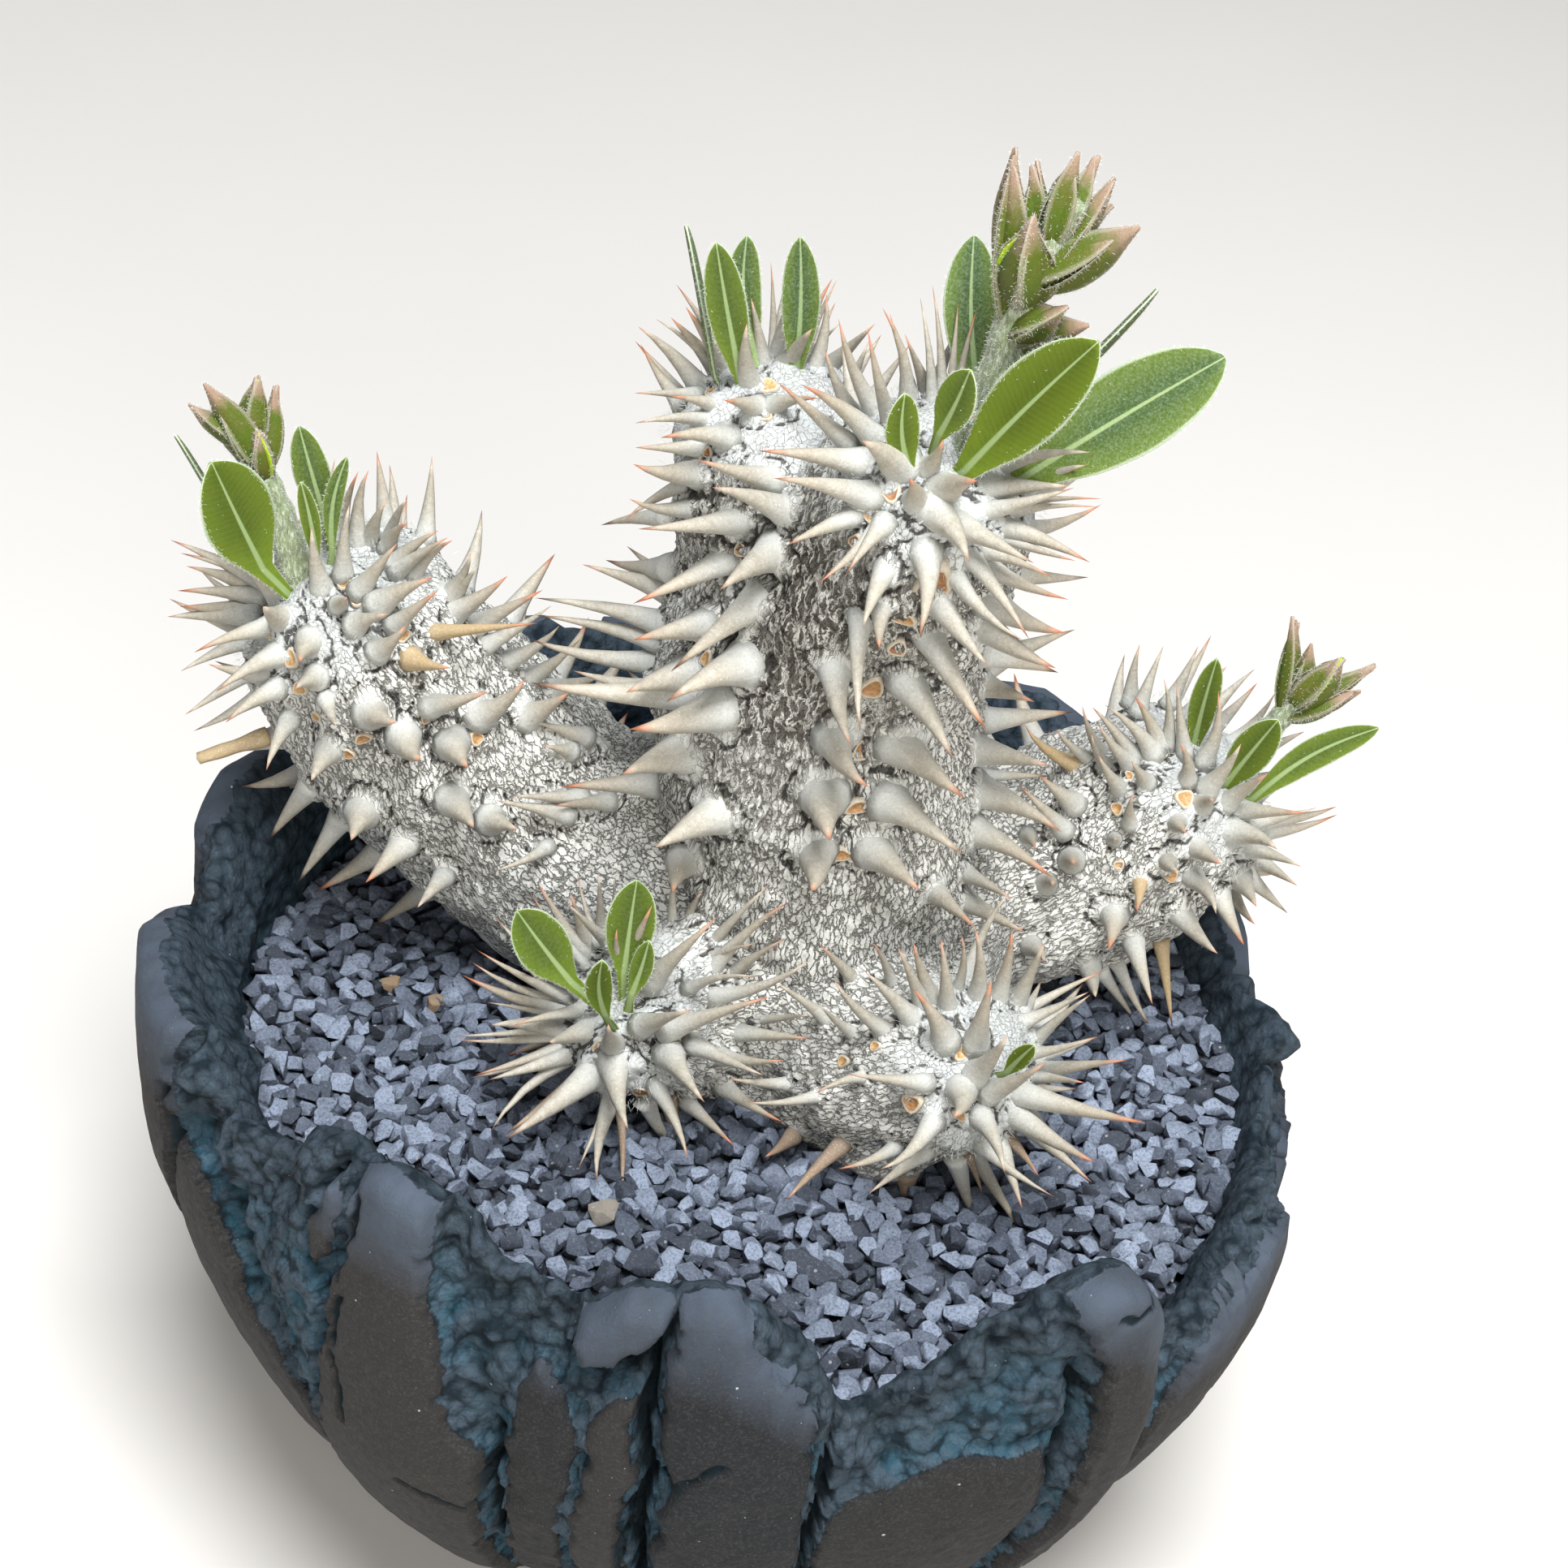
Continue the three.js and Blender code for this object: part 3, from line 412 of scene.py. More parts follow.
        ([(118, 40), (121, 33), (119, 26), (123, 20)], 0.4, 1, 0.4),
    ],
    "hollows": [  # outline, extra depth
        ([(-24.4, 72), (-17, 69.4), (-15, 64.4), (-17.6, 60), (-17.8, 48), (-19.6, 46), (-21.6, 54), (-23.6, 62)], 1.3),
        ([(-8.4, 68), (-4, 72), (-3.8, 66), (-5.4, 66), (-9, 62.6), (-10.8, 64.6)], 1.6),
        ([(-62, 64.6), (-57.6, 62), (-53, 56.6), (-47, 49.6), (-43.6, 44), (-42.6, 40), (-46, 45), (-52, 49),
            (-57.6, 57.6), (-62.6, 60)], 1.6),
        ([(33.6, 66), (36, 66), (36.8, 58), (36.6, 48), (35.6, 42), (34.6, 50), (34.6, 58)], 1.2),
        ([(45.4, 58), (49, 56), (52, 48), (48.6, 40), (47.6, 28), (43, 30), (44.8, 40), (46, 50)], 0.9),
        ([(106, 58), (111, 57), (108, 40), (105, 40)], 1.2),
    ],
}
# Painted light among these tones: rim is sky light painted on the slab tops, the crest and crumb tones are painted
# highlights on the torn clay, and the pit, seam, hollow, inside and crack tones are painted shade
clayTones = {
    "dark": (0.006, 0.008, 0.011), "brown": (0.027, 0.0245, 0.022), "rim": (0.07, 0.092, 0.126),
    "cloud": (0.019, 0.02, 0.022), "speck": (0.074, 0.072, 0.069), "tealDark": (0.02, 0.075, 0.11),
    "tealPale": (0.072, 0.14, 0.19), "tealTop": (0.046, 0.06, 0.074), "crest": (0.062, 0.086, 0.112),
    "pit": (0.004, 0.01, 0.014), "inside": (0.038, 0.056, 0.074), "hollow": (0.006, 0.022, 0.03),
    "crumb": (0.09, 0.135, 0.17), "seamShade": (0.004, 0.012, 0.018), "crack": (0.005, 0.013, 0.018),
    "grog": (0.36, 0.38, 0.37), "grogGrains": ((3.1, 0.1), (1.6, 0.08), (1.15, 0.09)),
}
clayMarks = ("slab", "brown", "deep", "split", "above", "inner", "crag")


def rimAt(turn):
    turns, heights, swells = np.array(bowl["rim"], float).T
    return np.interp(turn, turns, heights), np.interp(turn, turns, swells)


def wallRadius(height, radius):  # round below the widest level, nearly upright above
    rise = height - bowl["centreZ"]
    return np.where(rise < 0, np.sqrt(np.maximum(radius ** 2 - rise ** 2, 1)), radius - rise ** 2 / bowl["taper"])


def unrolled(turn, height):  # millimetres along the wall, round it and up it
    rise = np.clip((np.asarray(height, float) - bowl["centreZ"]) / bowl["radius"], -1, 1)
    up = np.where(rise < 0, np.arcsin(rise), rise) * bowl["radius"]
    return np.radians(turn) * bowl["radius"], up


def unrolledLine(points):
    return np.stack(unrolled(*np.array(points, float).T), 1)


def torn(place, seed):  # crumbly broken clay, about -1.5 to 1.5
    ridge = 1 - 2.6 * np.abs(lumps(place, 3.6, seed + 1))
    crumb, grit = (1 - 1.4 * cells(place, size, seed + 2)[0] for size in (3.0, 1.5))
    return 0.7 * roughness(place, 7, seed, 4, 0.6) + 0.4 * ridge + 0.55 * crumb + 0.35 * grit


def wallRelief(turn, height, place):  # height over the wall, and how much of each kind of clay is there
    plainAround, plainUp = unrolled(turn, height)
    around = plainAround + 0.6 * roughness(place, 5, 1, 4, 0.65) + 0.45 * roughness(place, 1.9, 2, 2)
    up = plainUp + 0.7 * roughness(place + 40, 5, 3, 4, 0.65) + 0.45 * roughness(place, 1.9, 4, 2)
    crag = torn(place, 5)
    crumb = 1 - 2 * smooth(0.0, 0.8, cells(place, 1.9, 31)[0]) + 0.5 * roughness(place, 1.3, 33, 2)
    lip = smooth(-12, 1, height - rimAt(turn)[0])
    core = (bowl["coreRough"] * crag + bowl["crumb"] * crumb) * (0.75 + 0.5 * lip) - bowl["lip"] * lip
    raised = np.full(len(turn), -9.0)
    slab, brown, grit, hollow, crack, split = (np.zeros(len(turn)) for _ in range(6))
    for outline, thick, rough, hue in bowl["slabs"].values():
        inside = -outlineDistance(around, up, unrolledLine(outline))
        top = thick * (0.84 * smooth(-0.1, 0.9, inside) + 0.16 * smooth(0, 5, inside))
        higher = (inside > 0) & (top > raised)
        raised = np.where(higher, top, raised)
        slab = np.maximum(slab, smooth(0.05, 0.75, inside) * (1 if rough < 0.6 else 0.3))
        brown = np.where(higher, hue, brown)
        grit = np.where(higher, rough, grit)
    raised = np.maximum(raised, 0)
    for outline, depth in bowl["hollows"]:
        hollow = np.maximum(hollow, depth * smooth(-0.6, 2.2, -outlineDistance(around, up, unrolledLine(outline))))
    hollow *= 1 - slab
    for line, width, depth, ragged in bowl["cracks"]:
        sway, lift = (1.4 * ragged * lumps(place, 1.9, seed) for seed in (8, 9))
        away = lineDistance(plainAround + sway, plainUp + lift, unrolledLine(line))
        here = 1 - smooth(width * 0.3, width * 0.3 + 0.5, away)
        crack, split = np.maximum(crack, depth * here), np.maximum(split, here)
    face = 0.28 * roughness(place, 16, 10, 2) + grit * 0.7 * roughness(place, 4, 11, 4, 0.6)
    relief = raised - bowl["coreDepth"] + slab * face + (1 - slab) * core - hollow - crack
    # the fourth value, how deep the hollows and cracks go, sets the painted shade in them
    return np.maximum(relief, bowl["thinnest"]), slab, brown * slab, np.clip((hollow + crack) / 2.2, 0, 1), split, crag


def drainCutter():
    cutter, radius, ring = bmesh.new(), bowl["holeRadius"] * mm, bowl["holeRing"] * mm
    for turn in np.radians(bowl["holeTurns"]):
        place = Matrix.Translation((ring * math.sin(turn), -ring * math.cos(turn), 4 * mm))
        bmesh.ops.create_cone(cutter, cap_ends=True, segments=48, depth=24 * mm, matrix=place,
                              radius1=radius, radius2=radius)
    return linked("drainCutter", meshFrom(cutter, "drainCutter"))


def bowlMesh():
    fine = np.arange(*bowl["fineTurns"], bowl["fineStep"])
    coarse = np.arange(fine[-1] + 0.9, 360 + fine[0] - 0.6, bowl["coarseStep"])
    turns = np.concatenate([fine, coarse])
    turns = np.where(turns > 180, turns - 360, turns)
    columns = len(turns)
    outward = np.stack([np.sin(np.radians(turns)), -np.cos(np.radians(turns)), np.zeros(columns)], 1)
    rings, marks = [], {key: [] for key in clayMarks}

    def placeAt(radius, height):
        return outward * np.reshape(radius, (-1, 1)) + np.array([0, 0, 1]) * height[:, None]

    def addRing(radius, height, relief=0, facing=(1, 0), slab=0, brown=0, deep=0, split=0, inner=0, crag=0):
        height = np.broadcast_to(height, columns)
        rings.append(placeAt(radius + relief * facing[0], height + relief * facing[1]))
        # above: nearness to the rim top, which places the painted sky light on the slab tops and the charcoal of the
        # torn clay there
        above = smooth(-16, -1, height - top)
        for key, value in zip(marks, (slab, brown, deep, split, above, inner, crag)):
            marks[key].append(np.broadcast_to(value, columns).astype(float))

    top, swell = rimAt(turns)
    ragged = roughness(placeAt(bowl["radius"], top), 3.4, 21, 4, 0.65)
    _, slabAtRim, *_ = wallRelief(turns, top - 1, placeAt(bowl["radius"], top))
    top = top + ragged * (1.1 - 0.9 * slabAtRim)
    foot = bowl["footHeight"]
    for radius in (4, 12, 20, bowl["footRadius"] - 0.6):
        addRing(radius, 0, slab=1, brown=0.6)
    addRing(bowl["footRadius"] + 0.2, 0.5, slab=1, brown=0.6)
    low = bowl["rows"] // 6
    for share in np.concatenate([np.linspace(0, 0.3, low, endpoint=False), np.linspace(0.3, 1, bowl["rows"] - low)]):
        height = foot + (top - 1.5 - foot) * share
        radius = wallRadius(height, bowl["radius"]) + swell * share
        relief, slab, brown, deep, split, crag = wallRelief(turns, height, placeAt(radius, height))
        rise = np.minimum((height - bowl["centreZ"]) / bowl["radius"], 0)
        facing = (np.sqrt(1 - rise ** 2), rise)
        addRing(radius, height, relief * smooth(foot - 1, foot + 5, height), facing, slab, brown, deep, split, 0, crag)
    edge = wallRadius(top - 1.5, bowl["radius"]) + swell
    rimRelief, rimSlab = relief, slab
    for inset, drop in ((0.35, 0.75), (0.9, 0.25), (1.7, 0), (2.6, 0.05), (3.5, 0.35), (4.4, 0.95), (5.2, 1.8),
                        (5.9, 2.9), (6.5, 4.2)):  # over the rim
        radius, height = edge - inset, top - drop
        place = placeAt(radius, height)
        slab = rimSlab * (1 - smooth(1.6, 4.2, inset + 0.8 * lumps(place, 2.5, 31)))
        crag = torn(place, 32)
        relief = rimRelief * (1 - inset / 6.5) + np.clip(crag, -1, 1) * (1 - slab) * 0.7
        height = height + crag * (1 - slab) * 0.8 * smooth(0, 2, inset)
        outer = 1 - smooth(0, 4, inset)
        addRing(radius, height, relief, (1, 0), slab, brown * slab, deep * outer, split * outer, 1 - outer, crag)
    for share in np.concatenate([np.linspace(0.03, 0.36, 16), np.linspace(0.42, 1, 9)]):  # down the inside
        height = (top - 4.6) + (bowl["floor"] + 0.3 - (top - 4.6)) * share
        radius = np.minimum(wallRadius(height, bowl["radius"] - bowl["wall"]), edge - 6.7)
        crag = torn(placeAt(radius, height), 34)
        relief = np.clip(crag, -0.9, 1.3) * (1.1 - smooth(0.3, 0.5, share))
        # painted shade inside the bowl, darker further down
        addRing(radius, height, relief, (-1, 0), deep=0.25 + 0.5 * smooth(0, 8, top - 6 - height), inner=1, crag=crag)
    for radius in (bowl["floorRadius"] - 1, 12, 4):
        addRing(radius, bowl["floor"], deep=0.3, inner=1)
    vertices = np.concatenate(rings + [[[0, 0, 0], [0, 0, bowl["floor"]]]])
    values = {key: np.concatenate(value + [[0, 0]]) for key, value in marks.items()}
    return meshPiece("clay_bowl", vertices, closedFaces(len(rings), columns), values)


def clayFinish():
    clay, tones = Finish("charcoalClay"), clayTones
    slab, brown, deep, split, above, inner, crag = clay.marks(*clayMarks)
    fine = clay.noise(0.9, 6, 0.65)
    smoothClay = clay.coats(
        clay.mix(brown, tones["dark"], tones["brown"]),
        # painted sky light on the slab tops near the rim
        (clay.times(clay.fade(above, 0.35, 1), 0.85), tones["rim"]),
        (clay.fade(clay.noise(9, 5, 0.6), 0.35, 0.7, 0, 0.55), tones["cloud"]),
        (clay.fade(clay.noise(0.32, 5, 0.8), 0.5, 0.7, 0, 0.6), tones["speck"]))
    broken = clay.plus(clay.times(clay.plus(clay.times(crag, 0.42), 0.5), 0.6), clay.times(fine, 0.4))
    crumb = clay.grains(1.5, clay.warped(1.1, 0.9))
    rubble = clay.coats(
        clay.mix(clay.fade(clay.noise(3.8, 5, 0.65), 0.38, 0.6), tones["tealDark"], tones["tealPale"]),
        # the crest tone is a painted highlight on the high crests of the torn clay
        (clay.fade(above, 0.4, 0.95, 0, 0.9), tones["tealTop"]), (clay.fade(broken, 0.5, 0.68, 0, 0.9), tones["crest"]),
        # painted shade: the pit tone in the low torn clay, the inside tone on the inner wall, the hollow tone where the
        # deep mark is set
        (clay.fade(broken, 0.24, 0.44, 1, 0), tones["pit"]), (clay.times(inner, 0.65), tones["inside"]),
        # the crumb tone is a painted highlight at the middle of each crumb, and the seam tone is painted shade between
        # crumbs
        (clay.times(deep, 0.6), tones["hollow"]), (clay.fade(crumb, 0.05, 0.4, 0.55, 0), tones["crumb"]),
        (clay.fade(crumb, 0.5, 0.8, 0, 0.85), tones["seamShade"]))
    cover = clay.fade(clay.plus(slab, clay.times(clay.minus(fine, 0.5), 0.7)), 0.42, 0.58)
    # the crack tone is painted shade inside the cracks
    colour = clay.coats(rubble, (cover, smoothClay), (clay.fade(split, 0.2, 0.55, 0, 0.95), tones["crack"]))
    for size, share in tones["grogGrains"]:
        draw = clay.node("SeparateColor", {0: clay.grains(size, output="Color")})[0]
        reach = clay.minus(clay.times(draw, share), share * 0.45)
        colour = clay.mix(clay.math("LESS_THAN", clay.grains(size), reach), colour, tones["grog"])
    crumbs = clay.timesPlus(crumb, -0.9, clay.noise(1.2, 8, 0.75))
    crumbs = clay.timesPlus(clay.grains(0.62, clay.warped(0.5, 0.4)), -0.6, crumbs)
    normal = clay.bump((clay.times(clay.rest(cover), crumbs), 0.95, 1), (clay.noise(0.2, 4, 0.8), 0.07, 0.8),
                       (clay.noise(0.45, 5, 0.75), 0.17, 0.9), (clay.noise(5, 3, 0.5, stretch=(1, 1, 0.5)), 0.35, 0.6))
    return clay.done(colour, clay.fade(fine, 0.3, 0.7, 0.62, 0.8), normal, Specular_IOR_Level=0.17)


print("bowl")
clayBowl, cutter = bowlMesh(), drainCutter()
drill = clayBowl.modifiers.new("drainHoles", "BOOLEAN")
drill.operation, drill.solver, drill.object = "DIFFERENCE", "EXACT", cutter
settled(clayBowl)
bpy.data.objects.remove(cutter)
dress(clayBowl, clayFinish(), "bowl", slot="clay")


# Geometry Nodes trees: the sizes are named inputs, set by their identifiers

class Growth:
    def __init__(self, name, **inputs):
        self.tree = bpy.data.node_groups.new(name, "GeometryNodeTree")
        panel = self.tree.interface
        for way in ("OUTPUT", "INPUT"):
            panel.new_socket("Geometry", in_out=way, socket_type="NodeSocketGeometry")
        kinds = {int: "NodeSocketInt", float: "NodeSocketFloat", bpy.types.Collection: "NodeSocketCollection"}
        self.values = {}
        for key, value in inputs.items():
            socket = panel.new_socket(key, in_out="INPUT", socket_type=kinds.get(type(value), "NodeSocketMaterial"))
            self.values[socket.identifier] = value
        self.source = self.tree.nodes.new("NodeGroupInput").outputs
        self.sink = self.tree.nodes.new("NodeGroupOutput")

    def add(self, kind, inputs=None, output=0, **settings):
        return wired(self.tree, kind, inputs, **settings).outputs[output]

    def math(self, operation, a, b):
        return self.add("ShaderNodeMath", {0: a, 1: b}, operation=operation)

    def scaled(self, vector, scale):
        return self.add("ShaderNodeVectorMath", {0: vector, "Scale": scale}, operation="SCALE")

    def sizes(self, x, y, z):
        return self.add("ShaderNodeCombineXYZ", {0: x, 1: y, 2: z})

    def named(self, name, kind="FLOAT"):
        return self.add("GeometryNodeInputNamedAttribute", {"Name": name}, data_type=kind)

    def vector(self, name):
        return self.named(name, "FLOAT_VECTOR")

    def random(self, low, high, seed):
        vector = isinstance(low, tuple)
        keys, kind = ((0, 1, 0), "FLOAT_VECTOR") if vector else ((2, 3, 1), "FLOAT")
        return self.add("FunctionNodeRandomValue", {keys[0]: low, keys[1]: high, "Seed": seed}, keys[2], data_type=kind)

    def shape(self, piece):
        return self.add("GeometryNodeObjectInfo", {"Object": piece, "As Instance": True}, "Geometry")

    def copies(self, points, shape, turn, size, **others):  # the shape on every point
        inputs = {"Points": points, "Instance": shape, "Rotation": turn, "Scale": size, **others}
        return self.add("GeometryNodeInstanceOnPoints", inputs)

    def grow(self, piece, geometry):  # runs the tree on a piece and keeps the plain mesh
        solid = self.add("GeometryNodeRealizeInstances", {"Geometry": geometry})
        solid = self.add("GeometryNodeSetMaterial", {"Geometry": solid, "Material": self.source["Finish"]})
        self.tree.links.new(solid, self.sink.inputs[0])
        modifier = piece.modifiers.new("growth", "NODES")
        modifier.node_group = self.tree
        for identifier, value in self.values.items():
            modifier[identifier] = value
        piece.update_tag()
        return settled(piece)


# Top dressing: angular crushed slate with dust and painted sky light on its upward faces, lying two grains deep on a
# darker bed of painted shade
gravel = {
    "radius": 51.4, "top": 54.5, "swell": 0.7, "bedDrop": 1.5, "bedBottom": 47, "bedSides": 96, "bedRings": 26,
    "grainKinds": 12, "grainCorners": 20, "spacing": 1.56, "density": 900000.0, "smallest": 0.6, "largest": 1.0,
    "seed": 4, "sharpness": 38,
    # single stones that stand out: x, y, size along, across and high, turn, shade
    "stones": [
        (9.5, -31, 7.6, 2.6, 1.9, -34, 0.02), (-11.4, -27.6, 3.4, 2.8, 2.2, 20, 1.6), (-37.5, 2.3, 2.3, 2, 1.6, 0, 2.2),
        (-32.6, 0.6, 2.2, 1.8, 1.5, 50, 2.4), (-3, -38.5, 4.2, 2.8, 2, 70, 0.9), (24, -35, 4, 3, 2.2, 10, 1),
        (12.5, -48.5, 3.6, 3, 2.2, 25, 1), (15.4, -50.2, 3, 2.4, 2, 70, 0.8), (33, -37.5, 3, 2.6, 2, 40, 0.7),
    ],
    # from deep to pale; the deepest tones are painted shade on the bed and on the lower layer of grains
    "tones": [(0, (0.01, 0.012, 0.016)), (0.2, (0.076, 0.093, 0.129)), (0.6, (0.17, 0.204, 0.28)),
              (1, (0.26, 0.305, 0.405))],
    # the dust tone also stands for painted sky light on the upward faces
    "patch": (0.026, 0.032, 0.044), "dustAndTopLight": (0.56, 0.65, 0.82), "pit": (0.055, 0.068, 0.095),
    "glint": (0.62, 0.7, 0.82), "tan": (0.42, 0.3, 0.19), "pale": (0.4, 0.36, 0.3), "fleck": (0.6, 0.62, 0.64),
}


def gravelLevel(x, y):
    turn, radius = np.arctan2(x, -y), np.hypot(x, y)
    return gravel["top"] + gravel["swell"] * (np.sin(3 * turn + radius / 9) + np.cos(7 * turn - radius / 6)) / 2


def grainMesh(name, size, seed):  # convex chip with flat broken faces
    points = np.random.default_rng(seed).uniform(-1, 1, size=(gravel["grainCorners"], 3))
    points /= np.abs(points).max(axis=1)[:, None]
    points *= np.array(size) / 2 / np.linalg.norm(points, axis=1)[:, None] ** 0.55
    chip = bmesh.new()
    for point in points:
        chip.verts.new(point * mm)
    bmesh.ops.convex_hull(chip, input=chip.verts)
    bmesh.ops.delete(chip, geom=[vert for vert in chip.verts if not vert.link_faces], context="VERTS")
    bmesh.ops.recalc_face_normals(chip, faces=chip.faces)
    return bpy.data.objects.new(name, meshFrom(chip, name))


def gravelBed():
    sides, rings, bottom = gravel["bedSides"], gravel["bedRings"], gravel["bedBottom"]
    turns = ringTurns(sides)
    layers = [np.stack([gravel["radius"] * np.sin(turns), -gravel["radius"] * np.cos(turns), turns * 0 + bottom], 1)]
    for step in range(rings, 0, -1):
        radius = gravel["radius"] * step / rings
        x, y = radius * np.sin(turns), -radius * np.cos(turns)
        layers.append(np.stack([x, y, gravelLevel(x, y) - gravel["bedDrop"]], 1))
    poles = [[0, 0, bottom], [0, 0, gravelLevel(0.0, -0.01) - gravel["bedDrop"]]]
    upper = [0] * sides + [1] * sides * rings + [0, 1]
    faces = closedFaces(len(layers), sides)
    # the bed has no shade mark, so it takes the darkest tone: painted shade under the grains
    return meshPiece("crushed_slate", np.concatenate(layers + [poles]), faces, {"upper": upper}, False)


def slateFinish():
    slate = Finish("crushedSlate")
    shade, grit = slate.mark("shade"), slate.noise(0.28, 6, 0.8)
    up = slate.parts(slate.node("NewGeometry")["Normal"])[2]
    # dust on the upward faces together with painted sky light on them; it also makes them rougher
    dustAndTopLight = slate.fade(slate.plus(up, slate.times(slate.noise(0.8, 5), 0.6)), 0.55, 1.35)
    tan, above = (slate.math("GREATER_THAN", shade, level) for level in (1.9, 1.3))
    tone = slate.coats(
        slate.ramp(shade, *gravel["tones"]),
        (slate.fade(slate.noise(0.5, 6, 0.75), 0.4, 0.65, 0, 0.7), gravel["patch"]),
        (slate.times(dustAndTopLight, slate.fade(shade, 0.1, 0.8, 0.1, 0.62)), gravel["dustAndTopLight"]),
        (slate.fade(grit, 0.38, 0.5, 0.7, 0), gravel["pit"]), (slate.fade(grit, 0.56, 0.68, 0, 0.45), gravel["glint"]),
        (tan, gravel["tan"]), (slate.times(above, slate.math("LESS_THAN", shade, 1.9)), gravel["pale"]),
        (slate.times(slate.math("LESS_THAN", slate.grains(1.7), 0.1), 0.6), gravel["fleck"]))
    normal = slate.bump((slate.noise(0.8, 7, 0.75), 1.1, 1), (grit, 0.14, 1))
    return slate.done(tone, slate.fade(dustAndTopLight, 0, 1, 0.55, 0.85), normal, Specular_IOR_Level=0.35)


def scatterGrains(bed, finish):
    chips = bpy.data.collections.new("chips")
    dice = np.random.default_rng(gravel["seed"])
    for kind in range(gravel["grainKinds"]):
        size = (2.9 + 1.0 * dice.random(), 2.2 + 0.6 * dice.random(), 1.5 + 0.8 * dice.random())
        chips.objects.link(grainMesh(f"chip{kind}", size, 100 + kind))
    bpy.context.scene.collection.children.link(chips)
    tree = Growth("gravelLayers", Chips=chips, Finish=finish, Spacing=gravel["spacing"] * mm, Seed=gravel["seed"],
                  Smallest=gravel["smallest"], Largest=gravel["largest"])
    surface = tree.source["Geometry"]
    whole = tree.tree.nodes.new("GeometryNodeJoinGeometry")
    tree.tree.links.new(surface, whole.inputs[0])
    grains = tree.add("GeometryNodeCollectionInfo", {"Collection": tree.source["Chips"], "Separate Children": True,
                                                     "Reset Children": True})
    # the lower layer sits deeper and takes only the darker shades, as painted shade between the upper grains
    for layer, sink, brightest in ((0, 0.25, 1.0), (1, -0.75, 0.45)):
        seed = tree.math("ADD", tree.source["Seed"], float(layer))
        inputs = {"Mesh": surface, "Distance Min": tree.source["Spacing"], "Density Max": gravel["density"],
                  "Seed": seed, "Selection": tree.named("upper")}
        points = tree.add("GeometryNodeDistributePointsOnFaces", inputs, distribute_method="POISSON")
        low, high = ((0, 0, (gravel["bedDrop"] + sink + end) * mm) for end in (-0.75, 0.1))
        points = tree.add("GeometryNodeSetPosition", {"Geometry": points, "Offset": tree.random(low, high, seed)})
        turn = tree.random((-0.7, -0.7, 0), (0.7, 0.7, 6.28), seed)
        size = tree.random(tree.source["Smallest"], tree.source["Largest"], seed)
        grown = tree.copies(points, grains, turn, size, **{"Pick Instance": True})
        shade = tree.random(0.0, brightest, tree.math("ADD", seed, 7.0))
        grown = tree.add("GeometryNodeStoreNamedAttribute", {"Geometry": grown, "Name": "shade", "Value": shade},
                         data_type="FLOAT", domain="INSTANCE")
        tree.tree.links.new(grown, whole.inputs[0])
    tree.grow(bed, whole.outputs[0])
    for chip in list(chips.objects):
        bpy.data.objects.remove(chip)
    bpy.data.collections.remove(chips)


def addStones(bed, finish):  # single stones become part of the bed
    stones = []
    for number, (x, y, long, wide, high, turn, shade) in enumerate(gravel["stones"]):
        stone = grainMesh(f"stone{number}", (long, wide, high), 300 + number)
        place = Vector((x * mm, y * mm, (gravelLevel(np.array(x), np.array(y)) + 0.55) * mm))
        stone.data.transform(Matrix.Translation(place) @ Matrix.Rotation(math.radians(turn), 4, "Z"))
        setMark(stone.data, "shade", [shade] * len(stone.data.vertices))
        stone.data.materials.append(finish)
        bpy.context.scene.collection.objects.link(stone)
        stones.append(stone)
    with bpy.context.temp_override(active_object=bed, selected_editable_objects=[bed, *stones]):
        bpy.ops.object.join()


print("gravel")
slateMaterial = slateFinish()
slateBed = gravelBed()
scatterGrains(slateBed, slateMaterial)
addStones(slateBed, slateMaterial)
slateBed.data.shade_smooth()
slateBed.data.set_sharp_from_angle(angle=math.radians(gravel["sharpness"]))
dress(slateBed, slateMaterial, "gravel_top_dressing", slot="gravel")
print("  grains:", len(slateBed.data.polygons), "faces")


# Soil under the slate and the net in the foot: two tones and the size of their grain
hidden = {
    "soil": ("darkSoil", (0.012, 0.009, 0.006), (0.075, 0.055, 0.036), 1.4),
    "drain_net": ("drainMesh", (0.012, 0.012, 0.013), (0.028, 0.028, 0.03), 0.5),
}
for node, (name, dark, pale, size) in hidden.items():
    finish = Finish(name)
    grain = finish.noise(size, 6)
    tone, rough = finish.fade(grain, 0.3, 0.7, dark, pale), finish.fade(grain, 0, 1, 0.8, 0.95)
    frame["nodes"][node].material_slots[0].material = finish.done(tone, rough, finish.bump((grain, size / 3, 0.9)))


# The living limbs: round bodies along curves, each with a dome at its tip (millimetres).
# Path, radii, the side that an azimuth is measured from, and the dome's height
up, forward = (0, 0, 1), (0, -1, 0)
limbShapes = {
    "trunk": ([(8, 10, 34), (7, 9.5, 56), (5, 9, 78), (3, 8, 98), (2.5, 7.5, 113)],
              [9, 17.5, 17.5, 17, 15], forward, 9),
    "leftHead": ([(1, 9, 94), (-2.5, 10, 112), (-5.5, 11, 128.5)], [12, 11, 9.5], forward, 6),
    "rightHead": ([(4, 5, 100), (8.5, 0.5, 116), (12.5, -5, 133)], [12, 12, 9.5], forward, 7),
    "left": ([(2, 10, 64), (-20, 13.5, 67.5), (-35, 14, 80), (-48, 10.5, 101)], [14, 14, 14, 11], up, 8),
    "right": ([(9, 12, 62), (24, 17, 66), (36, 20, 71.5), (47, 20, 85)], [12.5, 13, 13, 10], up, 7),
    "frontLeft": ([(2, 8, 52), (-5, -3, 61), (-13.5, -14.5, 69)], [10, 10, 8.5], up, 5),
    "frontRight": ([(6, 4, 50), (13, -8.5, 60), (25, -19, 74)], [9, 10.5, 8.5], up, 6),
}


def between(share, places, points):  # points along a curve, at shares of its places
    return np.stack([np.interp(share, places, points[:, axis]) for axis in range(3)], -1)


